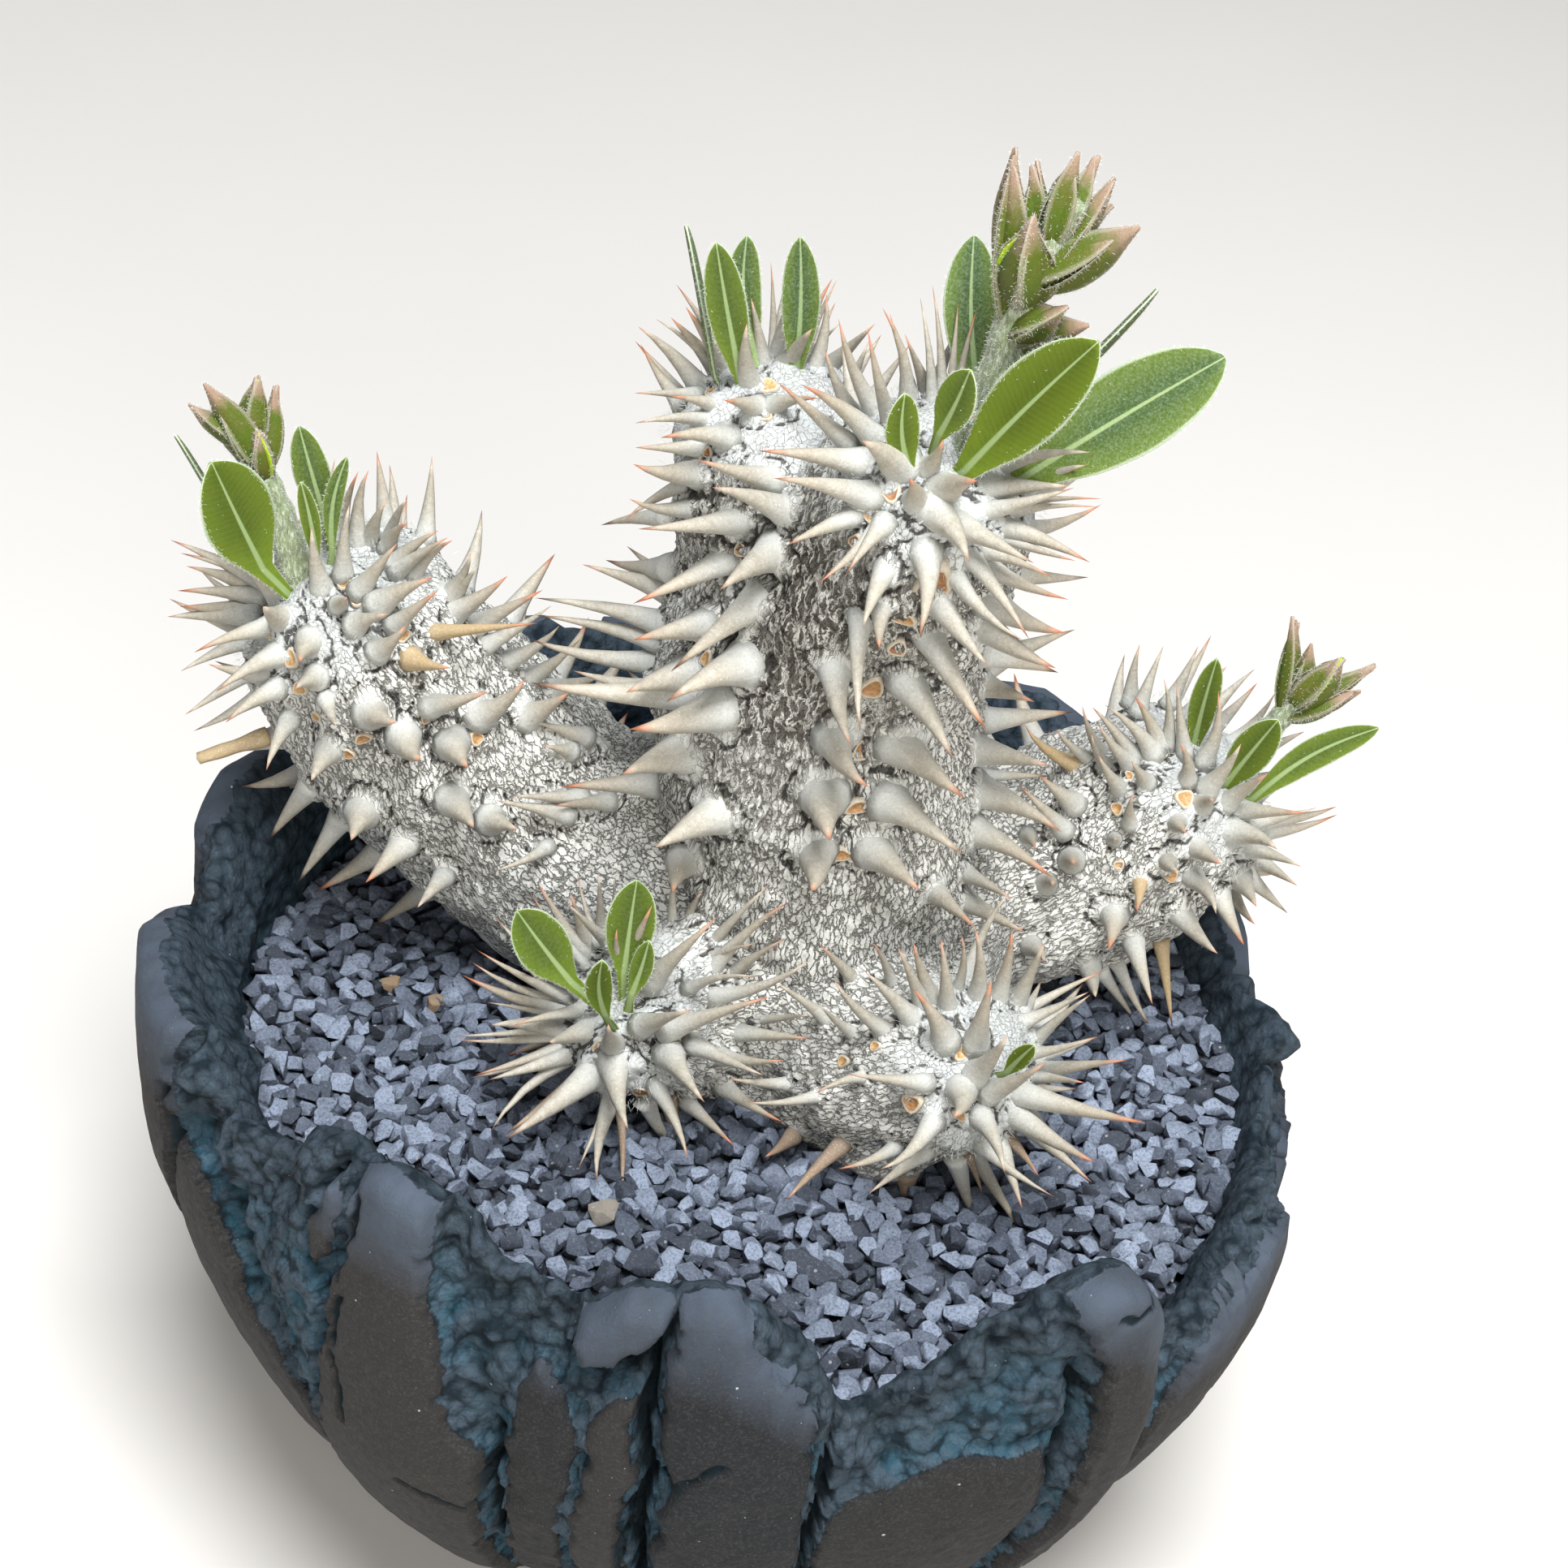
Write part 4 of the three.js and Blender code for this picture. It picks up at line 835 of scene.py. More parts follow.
def curvePoints(path, steps=240):  # centripetal curve through the path, evenly spaced, with its directions
    path = np.array(path, float)
    ends = [2 * path[0] - path[1], *path, 2 * path[-1] - path[-2]]
    rows = []
    for before, start, end, after in zip(ends, ends[1:], ends[2:], ends[3:]):
        gaps = [np.linalg.norm(b - a) ** 0.5 for a, b in ((before, start), (start, end), (end, after))]
        leave = (start - before) / gaps[0] - (end - before) / (gaps[0] + gaps[1]) + (end - start) / gaps[1]
        arrive = (end - start) / gaps[1] - (after - start) / (gaps[1] + gaps[2]) + (after - end) / gaps[2]
        leave, arrive = leave * gaps[1], arrive * gaps[1]
        t = np.linspace(0, 1, 60, endpoint=False)[:, None]
        rows.append((2 * t**3 - 3 * t**2 + 1) * start + (t**3 - 2 * t**2 + t) * leave
                    + (3 * t**2 - 2 * t**3) * end + (t**3 - t**2) * arrive)
    points = np.concatenate(rows + [path[-1:]])
    run = np.concatenate([[0], np.cumsum(np.linalg.norm(np.diff(points, axis=0), axis=1))])
    along = np.linspace(0, run[-1], steps)
    centre = between(along, run, points)
    return along, centre, unit(np.gradient(centre, axis=0))


class Limb:
    def __init__(self, path, radii, facing, dome):
        self.along, self.centre, self.ahead = curvePoints(path)
        self.length, self.dome, self.radii = self.along[-1], dome, radii
        facing = np.array(facing, float)
        self.front = unit(facing - (self.ahead @ facing)[:, None] * self.ahead)
        self.side = np.cross(self.ahead, self.front)
        self.radius = self.radiusAt(self.along)

    def radiusAt(self, along):
        share = np.clip(np.asarray(along, float) / self.length, 0, 1)
        body = np.interp(share, np.linspace(0, 1, len(self.radii)), self.radii)
        past = np.clip((along - (self.length - self.dome)) / self.dome, 0, 1)
        return body * np.sqrt(np.maximum(1 - past**2, 0))

    def frame(self, along):
        share = np.clip(np.asarray(along, float), 0, self.length)
        return [between(share, self.along, rows) for rows in (self.centre, self.ahead, self.front, self.side)]

    def skin(self, along, azimuth):  # point on the skin, its outward direction, the way ahead and the way round
        along = np.asarray(along, float)
        centre, ahead, front, side = self.frame(along)
        angle = np.radians(np.asarray(azimuth, float))[..., None]
        outward = front * np.cos(angle) + side * np.sin(angle)
        slope = np.clip((self.radiusAt(along + 0.4) - self.radiusAt(along - 0.4)) / 0.8, -3, 3)[..., None]
        around = side * np.cos(angle) - front * np.sin(angle)
        return centre + outward * self.radiusAt(along)[..., None], unit(outward - ahead * slope), ahead, around

    def distance(self, points):  # to the skin, negative inside, with the direction away from it
        nearest, toward = np.full(len(points), farOff), np.zeros((len(points), 3))
        body = self.along <= self.length - self.dome
        for centre, radius in zip(self.centre[body][::-3], self.radius[body][::-3]):
            away = points - centre
            span = np.linalg.norm(away, axis=1)
            closer = span - radius < nearest
            nearest[closer] = (span - radius)[closer]
            toward[closer] = (away / np.maximum(span, 1e-6)[:, None])[closer]
        end, ahead, radius = self.centre[body][-1], self.ahead[body][-1], self.radius[body][-1]
        away = points - end
        past = away @ ahead
        beside = np.linalg.norm(away - past[:, None] * ahead, axis=1)
        spread = np.hypot(beside / radius, past / self.dome)
        capped = (past > 0) & (np.linalg.norm(away, axis=1) < 2.5 * radius)
        nearest[capped] = ((spread - 1) * np.hypot(beside, past) / np.maximum(spread, 1e-6))[capped]
        slope = (away - past[:, None] * ahead) / radius**2 + past[:, None] * ahead / self.dome**2
        toward[capped] = unit(slope)[capped]
        return nearest, toward

    def locate(self, points):  # distance along and azimuth of points near the limb
        best, index = np.full(len(points), farOff), np.zeros(len(points), int)
        for number, centre in enumerate(self.centre):
            span = ((points - centre) ** 2).sum(1)
            closer = span < best
            best[closer], index[closer] = span[closer], number
        away = points - self.centre[index]
        ahead, side, front = ((away * rows[index]).sum(1) for rows in (self.ahead, self.side, self.front))
        return self.along[index] + ahead, np.degrees(np.arctan2(side, front))


limbs = {name: Limb(*shape) for name, shape in limbShapes.items()}


# Spines of each limb's near side: place along, azimuth, lean ahead and around in hundredths, length,
# width at the foot, and 1 for tan, 2 for withered or 3 for the thin bristles at a crown
spineSets = {
    "trunk": [
        (67.9, 9, 10, 21, 9.5, 3.8), (66.2, 32, -9, 17, 9.5, 4.3), (61.4, 6, 11, 1, 8, 4.6),
        (59.7, 29, -11, 30, 9.5, 4.2), (55.1, 3, 31, -3, 9.5, 3.9), (54.1, 23, 24, 11, 9.5, 3.9),
        (73.9, -54, -36, 26, 9.5, 3.1), (73.1, -29, -49, -20, 9.5, 4.2), (69.2, -52, 26, 33, 9.5, 3.7),
        (68.2, -35, 4, -30, 9.5, 4.4), (61.7, -48, 25, 25, 9.5, 4.4), (57.1, -32, 21, -2, 9.5, 4.4),
        (67.4, -53, 6, -39, 14.4, 3.9), (63, -78, 34, 10, 8.5, 2.4), (64.2, -87, -3, -16, 12.4, 2.6),
        (66.3, -88, -3, -17, 12.1, 2.2), (68.4, -88, -5, -15, 12.2, 2.7), (71, -94, 23, 35, 9, 2.5),
        (52.2, -75, 24, 16, 9.5, 2.9), (47.8, -48, 35, 69, 8, 3.2), (66.1, 79, 29, -60, 8.5, 3),
        (58.3, 90, -24, 46, 10, 2.9), (57.8, 76, 34, -45, 9.5, 3.2), (51.7, 78, 5, -46, 10, 3.6),
        (48, 72, 6, -45, 10.5, 3.3), (44.7, 63, 37, -50, 9.5, 2), (41.5, 62, 21, -35, 9.5, 2.6),
        (46.2, 45, 23, -27, 9, 2.7), (50.7, 91, -39, 46, 8, 1.5),
    ],
    "leftHead": [
        (25, -15, 23, -54, 11, 2.9), (20.4, -26, -8, -35, 10, 2.7), (15.6, -82, -28, -73, 9.5, 2.8),
        (20.9, -83, -42, -63, 9.5, 2.2), (33.3, -107, 18, 52, 10, 2.3), (34, -124, -2, 53, 8.5, 1.5),
        (33.7, -130, 37, 57, 9, 2.3), (34, -139, -2, 28, 9.2, 2), (34.3, -131, 37, 52, 10, 2.6),
        (35, -33, 2, 29, 8.5, 2.6), (34.9, -176, 48, 8, 7.5, 1.7), (34, -159, 38, 1, 8.5, 1.6),
        (34, -170, -17, -8, 9.5, 1.2), (34, 177, 17, -3, 9.1, 1.2), (34.9, 133, 32, -68, 8, 2.5),
        (34, 173, 42, -29, 8, 1.9), (34, 169, 12, -17, 9.5, 1.2), (34, 149, 16, -35, 9, 2.2),
        (34, 146, 1, -28, 8.5, 1.5), (34, 153, 6, -12, 9.6, 1.2), (32.9, 133, 32, -71, 9, 2.2),
        (34, 143, 9, -64, 6, 1.2), (34.2, 16, -59, 45, 7, 2), (34.2, -5, -58, -22, 7, 2.3),
        (33.9, -50, -51, 29, 7, 1.8), (33.4, -86, -32, 68, 8, 1.5), (33, -48, -54, 16, 9, 1.8),
        (32.4, -24, -40, -23, 8.5, 2.4), (31.1, -42, -15, 6, 8, 1.7), (29, -41, 41, 12, 9, 2.9),
        (29.3, 4, 47, -62, 9.5, 2.8), (25, -47, 44, 18, 8.5, 2), (26.6, -54, -2, 39, 8, 1.5),
    ],
    "rightHead": [
        (26.2, 17, 20, 22, 9.5, 2.8), (24.3, -9, 34, 10, 9.5, 2.3), (21, -13, -26, 41, 11, 2.3),
        (21.3, 21, 2, 20, 11, 2.9), (13.4, -11, 20, 41, 9.5, 3.1), (14.6, 22, 21, 13, 9.5, 3.6),
        (17.3, -71, 27, 66, 9.5, 3.7), (11.2, -64, -46, 41, 10.2, 3.6), (24.7, 49, 48, -5, 9.5, 3.1),
        (21.8, 49, 35, -6, 9.5, 3.3), (14.1, 72, -34, 62, 9.5, 2.9), (20.6, -85, 37, 36, 10, 3.1),
        (33.2, -179, -1, 17, 6.5, 0.5, 3), (33.8, 178, -9, 13, 6.5, 0.5, 3), (33.1, -175, -2, 14, 4.3, 0.5, 3),
        (32.8, 166, 8, 0, 3.5, 0.4, 3), (32.7, 158, 9, 6, 3.2, 0.4, 3), (33.5, 156, -3, 1, 4.7, 0.4, 3),
        (32.4, -178, 68, 16, 4, 0.5, 3), (33.5, -1, -46, 33, 8.5, 3.6), (33.7, -21, -1, -11, 7.5, 2.6),
        (34.6, -1, -14, 15, 8, 3.3), (34.2, -56, -36, 4, 7.5, 3.9), (35, -33, 4, 10, 6, 2.2),
        (34, -103, -1, 6, 11, 1.9), (33.5, -136, 10, 29, 10.5, 1.8), (32.1, -161, 57, 53, 8.5, 1.8),
        (32.2, -150, 15, 33, 8, 1.3), (32.3, -118, 16, 19, 10.5, 2.1), (33.2, -90, -26, 26, 10.5, 2.5),
        (31.5, -89, 1, 16, 10.5, 2), (32.1, -71, -42, 18, 11, 2.7), (31.8, -49, -33, -21, 10.5, 2.7),
        (29.8, -45, -22, 9, 8, 2), (30.2, -30, -39, 4, 8.5, 1.6), (31.2, -28, -48, 15, 7.5, 2.1),
        (28, -15, 6, 10, 8.5, 2.4), (30.7, 1, -44, 3, 9.5, 2.9), (31.1, 27, -38, 10, 10.5, 2),
        (29.3, 21, 9, 27, 10, 1.9), (33.3, 15, -32, 48, 9.5, 2.9), (32.7, 51, -33, 2, 10, 2.3),
        (32, 49, -9, -2, 9, 1.3), (31.6, 34, -7, 21, 8.5, 1.7), (29.9, 40, 16, 17, 9, 2), (34.5, 59, -31, -2, 9, 2.7),
        (33.1, 69, -2, -9, 10, 1.3), (33.1, 58, -4, 7, 10, 1.2), (34.6, 93, -18, -32, 10.5, 1.9),
        (33.8, 42, 0, 40, 9, 2), (35.3, -165, 76, -3, 6, 1.5), (34, -164, -22, 25, 10.5, 1.3),
        (34.1, -170, -20, 15, 9.1, 1.3), (34.1, -176, -16, 9, 8.8, 1.3), (33.7, -157, -20, 20, 9.2, 1.3),
    ],
    "left": [
        (65.7, 111, 15, -34, 6.9, 0.5, 3), (65.7, 107, 13, -36, 6.8, 0.5, 3), (65.7, 105, 12, -37, 6.1, 0.5, 3),
        (65.7, 99, 9, -33, 5.5, 0.5, 3), (65.7, 111, 14, -22, 6.3, 0.5, 3), (25.1, -29, 71, -63, 7, 2.1),
        (29.7, -36, 77, -58, 8.5, 2), (30.1, -45, 85, -43, 8.5, 2.1), (34, -13, 83, -55, 8, 2.2),
        (34.7, -24, 72, -58, 5, 2), (29, -61, 51, -51, 8, 1.6), (66.9, -76, 3, 35, 8, 2.4),
        (67.1, 133, 83, -20, 7.5, 2.1), (66.7, 63, 27, -61, 7.5, 1.8), (66.7, -39, -24, 25, 8.5, 2.1),
        (66.3, 16, -21, -30, 9, 2.1), (65.9, 56, 17, -67, 8.5, 1.8), (65.7, 74, 9, -55, 8, 1.6),
        (65.8, 14, -12, -57, 7.5, 2.3), (64.9, 10, -6, -52, 7, 1.6), (65.1, -2, -20, -57, 6.5, 1.9),
        (65.6, -50, -41, 36, 8, 2.4), (64.6, -19, -47, -17, 7.5, 2.1), (64.3, -24, -48, -10, 8, 1.9),
        (63.3, -22, -24, -19, 7.5, 1.8), (59.9, -24, 50, -13, 7.5, 2.1), (59.1, -24, 53, -20, 7, 1.8),
        (64.2, -53, -48, 35, 8, 3), (58.3, -29, 26, 5, 8, 2.6), (54.9, -23, 15, -3, 9, 2.4),
        (62.5, -57, -11, 42, 7.5, 2.2), (65.8, -74, -49, 21, 5, 1.9), (64.3, -73, -43, 45, 6, 2.5),
        (59.1, -46, -11, 19, 12, 1.8, 1), (52.7, -26, 13, 14, 8.5, 2), (48.8, -20, 19, 0, 7.5, 2.1),
        (44.4, -14, 30, -7, 8, 2.1), (62, -73, 7, 51, 6, 2.5), (59.2, -64, 0, 13, 6.5, 2.4, 1),
        (53.8, -68, 11, 50, 8, 2.6), (48.7, -51, 30, 40, 8, 3.1), (42.1, -29, 21, 7, 7, 3.1), (40, -6, 5, -34, 7, 2.5),
        (66.8, -169, 26, 26, 8.5, 2.8), (64.7, 145, 37, 45, 9, 2.6), (65.7, 140, -11, 36, 9.1, 2.1),
        (65, 154, -11, 42, 8, 2.3), (63.9, 159, 24, 52, 8, 2.8), (66.1, -133, -8, 50, 7, 3.1),
        (65.4, -155, -41, 28, 9, 2.3), (62.4, 173, 3, 68, 8, 2), (64.1, -137, -41, 10, 8.5, 2.6),
        (64.7, -107, -48, 23, 6.5, 2.9), (61.4, -140, -4, 18, 7.5, 2.3), (60.6, -173, 2, 50, 8, 1.8),
        (62.3, -111, 0, 13, 5.5, 2.6), (58, -170, -9, -13, 7, 1.8), (57.5, -140, 5, 46, 7.5, 2.1),
        (60, -110, -7, 45, 5.5, 1.8), (54, -124, 25, 36, 7, 2.8), (57, -94, 19, 45, 7, 3.4),
        (52.6, -87, 12, 21, 7, 3.5), (48.4, -69, 8, -7, 7, 3.5), (41.9, -78, 3, 25, 7.5, 3.4),
        (46.9, -159, -53, -39, 8.5, 2.9), (43, -150, -37, -38, 9, 2.7), (45.6, -121, 24, 56, 8, 3.6),
        (40, -112, 34, 25, 8.5, 3), (34.2, -106, 30, 36, 8, 2.2), (36.7, -69, 2, 37, 6.5, 3.1),
        (64.2, 165, -2, 43, 8.5, 2.5), (65.7, 147, -6, 16, 10.3, 2.1),
    ],
    "right": [
        (39.5, 16, 32, 8, 8, 1.7), (42.3, 26, -25, -15, 8.5, 2), (41.8, 31, -12, -17, 7.5, 2),
        (43.8, 28, -53, -20, 9, 2.3), (44.5, 22, -44, -8, 8, 2.2), (45.1, 22, -27, -12, 9, 1.7),
        (45.8, 31, -35, -34, 9, 1.8), (46.6, 45, -24, -40, 9, 2.2), (45.1, 56, -32, -38, 7, 2),
        (39.9, 42, 25, -24, 7.5, 2), (42.4, 46, -13, -15, 6, 2), (39, 59, 54, -31, 6, 1.8), (45.8, 73, 9, -28, 8, 2.5),
        (46, 99, 1, -31, 8, 2.4), (45.9, 120, -18, -15, 9, 2.4), (44.7, 79, -28, -22, 6, 2.3),
        (42.4, 76, -10, -1, 6.5, 2.3), (44.5, 116, -20, -26, 8, 3), (43.6, 137, 1, -37, 8, 2.2),
        (41.6, 159, 28, -69, 7.5, 2.1), (42, 94, 4, -7, 7, 2.5), (39.2, 87, 28, -17, 6.5, 2.5),
        (26.4, 50, 7, 1, 7, 2.7), (36.1, 60, 25, 0, 5, 1.5), (21.5, 55, 2, -10, 6, 2.3), (39.1, 106, 16, -19, 8, 2.4),
        (40.1, 143, 26, -79, 8, 2.6), (39.9, 155, -30, 57, 7.5, 2.2), (37.9, 135, 7, -56, 8.5, 2.4),
        (37.5, 153, 26, -80, 7.5, 1.9), (34.7, 117, 22, -30, 8.5, 2.7), (35.1, 83, -13, -6, 6.5, 2, 1),
        (28.6, 85, -10, -29, 8, 2.9), (28.7, 109, 2, -35, 9.5, 2.4), (29.9, 138, -38, 33, 9.5, 1.7, 1),
        (23.5, 113, -8, -73, 8, 2.4), (24.6, 135, 19, 65, 8.5, 1.7), (26.1, 136, 7, 50, 8.5, 1.6),
        (18, 82, 3, -35, 6.5, 2.2), (21.2, 32, -2, 49, 6, 1.8), (35.5, 13, -11, 3, 8.5, 2, 1),
        (37.5, 15, 6, 15, 7, 1.5), (26.8, 34, -21, -44, 8.5, 2.2), (33.2, 31, -8, -17, 7, 2.5),
        (39.5, 25, 32, 11, 7, 1.7),
    ],
    "frontLeft": [
        (29.9, 116, 19, -33, 11.5, 2.3), (29.6, 108, 30, -31, 11, 1.6), (30.2, 102, 0, -31, 10.5, 1.5),
        (30.8, 88, -39, -33, 10.8, 1.5), (30.3, 121, 23, -23, 9, 1.2), (30.1, 129, 60, -8, 11.5, 2.8),
        (30.4, 128, -15, -5, 11.4, 1.5), (29.7, 133, 32, -9, 11.5, 1.5), (31.9, 144, 52, 17, 11, 2.4),
        (32, -140, 38, 55, 10, 2.4), (29.4, 142, 43, 7, 11, 1.8), (29.8, 151, 24, -4, 9.5, 2.1),
        (29.5, 153, 7, 30, 11.5, 1.8), (30.5, -180, 5, 4, 12.5, 3.4), (29.6, 171, -8, -7, 9.9, 2.3, 2),
        (31.3, -148, -24, 55, 11, 3.2), (28.1, -167, 37, 45, 10.5, 2.3), (28.4, -167, 26, 21, 9, 1.3),
        (28.2, -161, -17, 31, 10.8, 1.3, 2), (28.7, -125, 3, 35, 11, 1.9), (25.3, -151, -82, -6, 9.5, 2),
        (30, -94, -30, 8, 10, 3), (21.4, -151, -31, 19, 8.2, 1.8, 2), (20.7, -139, 37, 72, 9.5, 1.8),
        (14.2, -149, -81, 15, 11, 2.5), (19.8, -114, 29, 52, 10, 2), (28.2, -81, -9, 10, 10.5, 2.1),
        (23.9, -88, 25, 43, 9.5, 1.9), (22, -73, 22, 17, 10, 1.9), (20, -66, 29, 16, 9, 1.3),
        (30.3, -69, -68, 38, 12.5, 2.5), (31.6, -71, -62, 32, 10, 2.5), (25.5, -49, 6, 9, 12.5, 1.9),
        (28.7, -41, -24, -21, 10, 1.4), (23, -37, 26, -1, 10, 1.8), (24.8, -30, 12, 1, 12.5, 1.9),
        (23.5, -16, 23, -19, 12, 1.9), (30.7, -21, -66, -15, 12, 2.7), (22.8, 9, 56, -47, 8, 1.5),
        (28.8, 69, 31, -45, 10, 2.1), (28.2, 64, 56, -59, 9, 2), (30, 68, -36, -22, 8.5, 1.1),
        (27.9, 53, 42, -65, 9, 1.5), (28.6, 55, -19, -33, 7, 1.1), (27.6, 42, 49, -56, 8.5, 1.3),
        (31.1, 9, -50, -39, 10, 2.1), (31.4, 13, -34, -27, 8, 1.6), (24.3, 12, 54, -29, 10, 1.3),
        (20.2, 37, -76, 29, 9, 1.2), (28.9, 100, 72, -36, 8, 2.1), (24.7, -23, 31, -42, 8, 1.3),
    ],
    "frontRight": [
        (27.2, 41, 37, 6, 8, 1.4), (23.2, 34, 23, 16, 9.5, 1.8), (31.6, 40, 25, -4, 10.5, 2),
        (24.5, 7, 33, 49, 9.5, 2.1), (34.2, 32, -7, 10, 9.5, 2.2), (28.7, 2, 48, 43, 8, 1.4),
        (34.6, 19, 3, 16, 9.5, 1.9), (35.1, 13, -1, 22, 9.5, 2), (37, 43, -46, -13, 9.5, 2.7),
        (36.3, 12, -18, 10, 10, 2), (35.8, -8, 10, 35, 9, 1.3), (36.8, -17, -12, 44, 10.5, 2.1),
        (36.7, -43, 15, 56, 10.5, 2.1), (35.2, -71, 60, 56, 10.5, 2.3), (38.3, 32, -34, -21, 10, 2.7),
        (38.3, 89, 12, -40, 9.5, 2.8), (35.6, -96, -79, 16, 11, 2.3), (36.3, -100, 61, 35, 10, 1.6),
        (35.3, -79, -90, -9, 8, 1.6), (35.7, -113, -75, 16, 10, 1.8), (36.6, -126, 60, -1, 12.5, 2.1),
        (37.2, -134, 63, -20, 9.5, 1.6), (38.3, 137, 43, -21, 10, 2.5), (37.7, -162, 8, -3, 14.5, 2.7),
        (36.8, -176, 22, -24, 12, 2.7), (35.1, -165, 28, -33, 10, 2.2), (36.3, -159, -22, -28, 8, 1.3),
        (34.2, -177, 60, -53, 8, 1.4, 2), (37, 139, -15, -22, 9.5, 2.5), (33.8, 175, 46, -60, 10, 2.1),
        (37.4, 100, -33, -15, 9, 3.1), (34.3, 108, -17, -32, 10, 2.2), (30.2, 128, 11, -65, 9.5, 1.9),
        (27.7, 118, 13, -66, 8.5, 1.6), (22, 112, 16, -24, 10, 1.9, 2), (16.4, 110, 64, -27, 6.5, 1.8, 2),
        (21.8, 164, -72, 25, 8.5, 2.5, 2), (29.2, 163, -56, 49, 10, 2.3), (30.8, 164, -50, 48, 5.5, 1, 2),
        (35.3, 78, -48, -32, 10, 1.9), (28.6, 68, 12, 14, 7.5, 1.3), (22.5, 78, 11, -14, 10, 1.4),
        (18.6, 74, 36, -14, 8.5, 1.5),
    ],
}
leafScars = {  # where leaves fell: place along, azimuth, half width, half height, 0 pale to 1 dark
    "rightHead": [
        (33.2, -40, 1, 0.83, 0.8), (31.2, -38, 0.64, 0.7, 0.3), (34.1, 19, 0.72, 0.71, 0.6),
        (30.3, 13, 0.65, 0.75, 0.6), (27.9, -37, 0.58, 0.73, 0.9), (28.3, 10, 1.51, 2.07, 0.8),
        (23.9, 3, 1.09, 0.66, 0.5), (19.3, 8, 0.81, 0.95, 0.9), (11.4, 10, 1.05, 1.47, 0.6),
        (30.4, -83, 0.36, 0.51, 0.6),
    ],
    "leftHead": [
        (22.1, -13, 0.6, 0.71, 0.4), (35, 16, 0.84, 0.87, 0.1), (33.9, 5, 0.6, 0.67, 0.2), (34.2, -79, 0.46, 0.64, 0.5),
        (33.3, -47, 0.53, 0.74, 0.4), (31.1, -34, 0.45, 0.47, 0.9),
    ],
    "trunk": [
        (71.8, -47, 0.57, 0.8, 0.4), (65.6, 20, 1, 1.16, 0.6), (59.2, 18, 1.32, 0.72, 0.5), (53.8, 11, 1.25, 0.73, 0.5),
    ],
    "left": [
        (66.6, -52, 0.64, 0.86, 0.2), (65.6, -59, 0.72, 0.84, 0.3), (61.6, -59, 0.71, 0.75, 0.3),
        (65.5, -140, 0.81, 1.13, 0.3), (66.3, -174, 0.57, 0.8, 0.4), (64, -125, 0.72, 0.95, 0.3),
        (61.4, -126, 0.8, 0.66, 0.4), (54.4, -105, 0.88, 0.52, 0.5), (52.9, -116, 0.57, 0.6, 0.5),
        (57.7, -125, 0.4, 0.56, 0.4), (46.7, -58, 0.65, 0.72, 0.4), (52.6, -74, 0.56, 0.54, 0.5),
    ],
    "right": [
        (44.6, 30, 0.5, 0.63, 0.3), (41.4, 39, 0.58, 0.36, 0.4), (38.3, 49, 0.67, 0.62, 0.4),
        (44.2, 68, 0.92, 0.91, 0.3), (34.3, 70, 0.5, 0.52, 0.4), (38, 94, 0.67, 0.72, 0.4), (45.6, 81, 0.5, 0.66, 0.5),
    ],
    "frontLeft": [
        (31.8, -172, 0.96, 0.91, 0.5), (30.2, -176, 0.73, 1.02, 0.5), (30.2, -82, 0.64, 0.66, 0.3),
        (28.2, -75, 0.36, 0.44, 0.4), (28.6, -144, 0.89, 0.87, 0.8),
    ],
    "frontRight": [
        (38, 57, 0.62, 0.67, 0.2), (38.1, 135, 0.71, 0.88, 0.3), (33.7, 90, 0.94, 0.95, 0.6),
        (30.9, 51, 0.47, 0.66, 0.1), (26.3, 58, 0.56, 0.69, 0.1), (34.5, 27, 0.35, 0.45, 0.4),
        (29.8, 137, 0.8, 1.12, 0.6), (36.5, 121, 0.78, 0.46, 0.5),
    ],
}
# Hidden sides are filled by rule: azimuth range, first and last place, pitch, spread of a pair, length, width
hiddenSpines = {
    "trunk": (100, 262, 26, 66, 7.4, 15, 9.5, 4.2), "leftHead": (115, 250, 14, 33, 2.4, 24, 8, 2.8),
    "rightHead": (95, 240, 14, 33, 2.4, 22, 8.5, 2.8), "left": (35, 205, 16, 62, 1.9, 17, 8, 3.2),
    "right": (150, 325, 15, 44, 1.9, 18, 8, 3.0), "frontLeft": (45, 160, 16, 29, 1.4, 24, 10, 2.4),
    "frontRight": (170, 330, 15, 35, 1.6, 22, 10, 2.4),
}
spineRules = {
    "columnPitch": 48, "crownSteps": 30, "crownMargin": 25, "crownGap": 2.3, "gap": 4.2,
    "tipGap": 1.2, "footGap": 0.3, "overGravel": 2,
}
bark = {
    "voxel": 0.4, "fillet": 3.0, "padHeight": 0.7, "padSpread": 0.62, "fissure": 0.3, "ring": 0.35, "lump": 0.5,
    "flare": 3.2, "white": (0.76, 0.74, 0.665), "silver": (0.61, 0.63, 0.615), "shade": (0.115, 0.102, 0.082),
    "crack": (0.026, 0.022, 0.018), "pale": (0.33, 0.32, 0.285), "wool": (0.33, 0.35, 0.35), "grey": (0.44, 0.43, 0.38),
    "stain": (0.34, 0.325, 0.275),
    # darker stains on the trunk: x, y, height, half width, half height, strength
    "stains": [(0, -7.5, 116, 7, 9, 1.0), (-0.5, -7.6, 104, 7, 9, 0.75), (-2, -7.8, 94, 6.5, 8, 0.45),
               (-9, 1, 119, 4.5, 8, 0.7), (8, -11, 117, 6, 8, 0.7), (7, -8, 102, 5, 7, 0.55)],
}
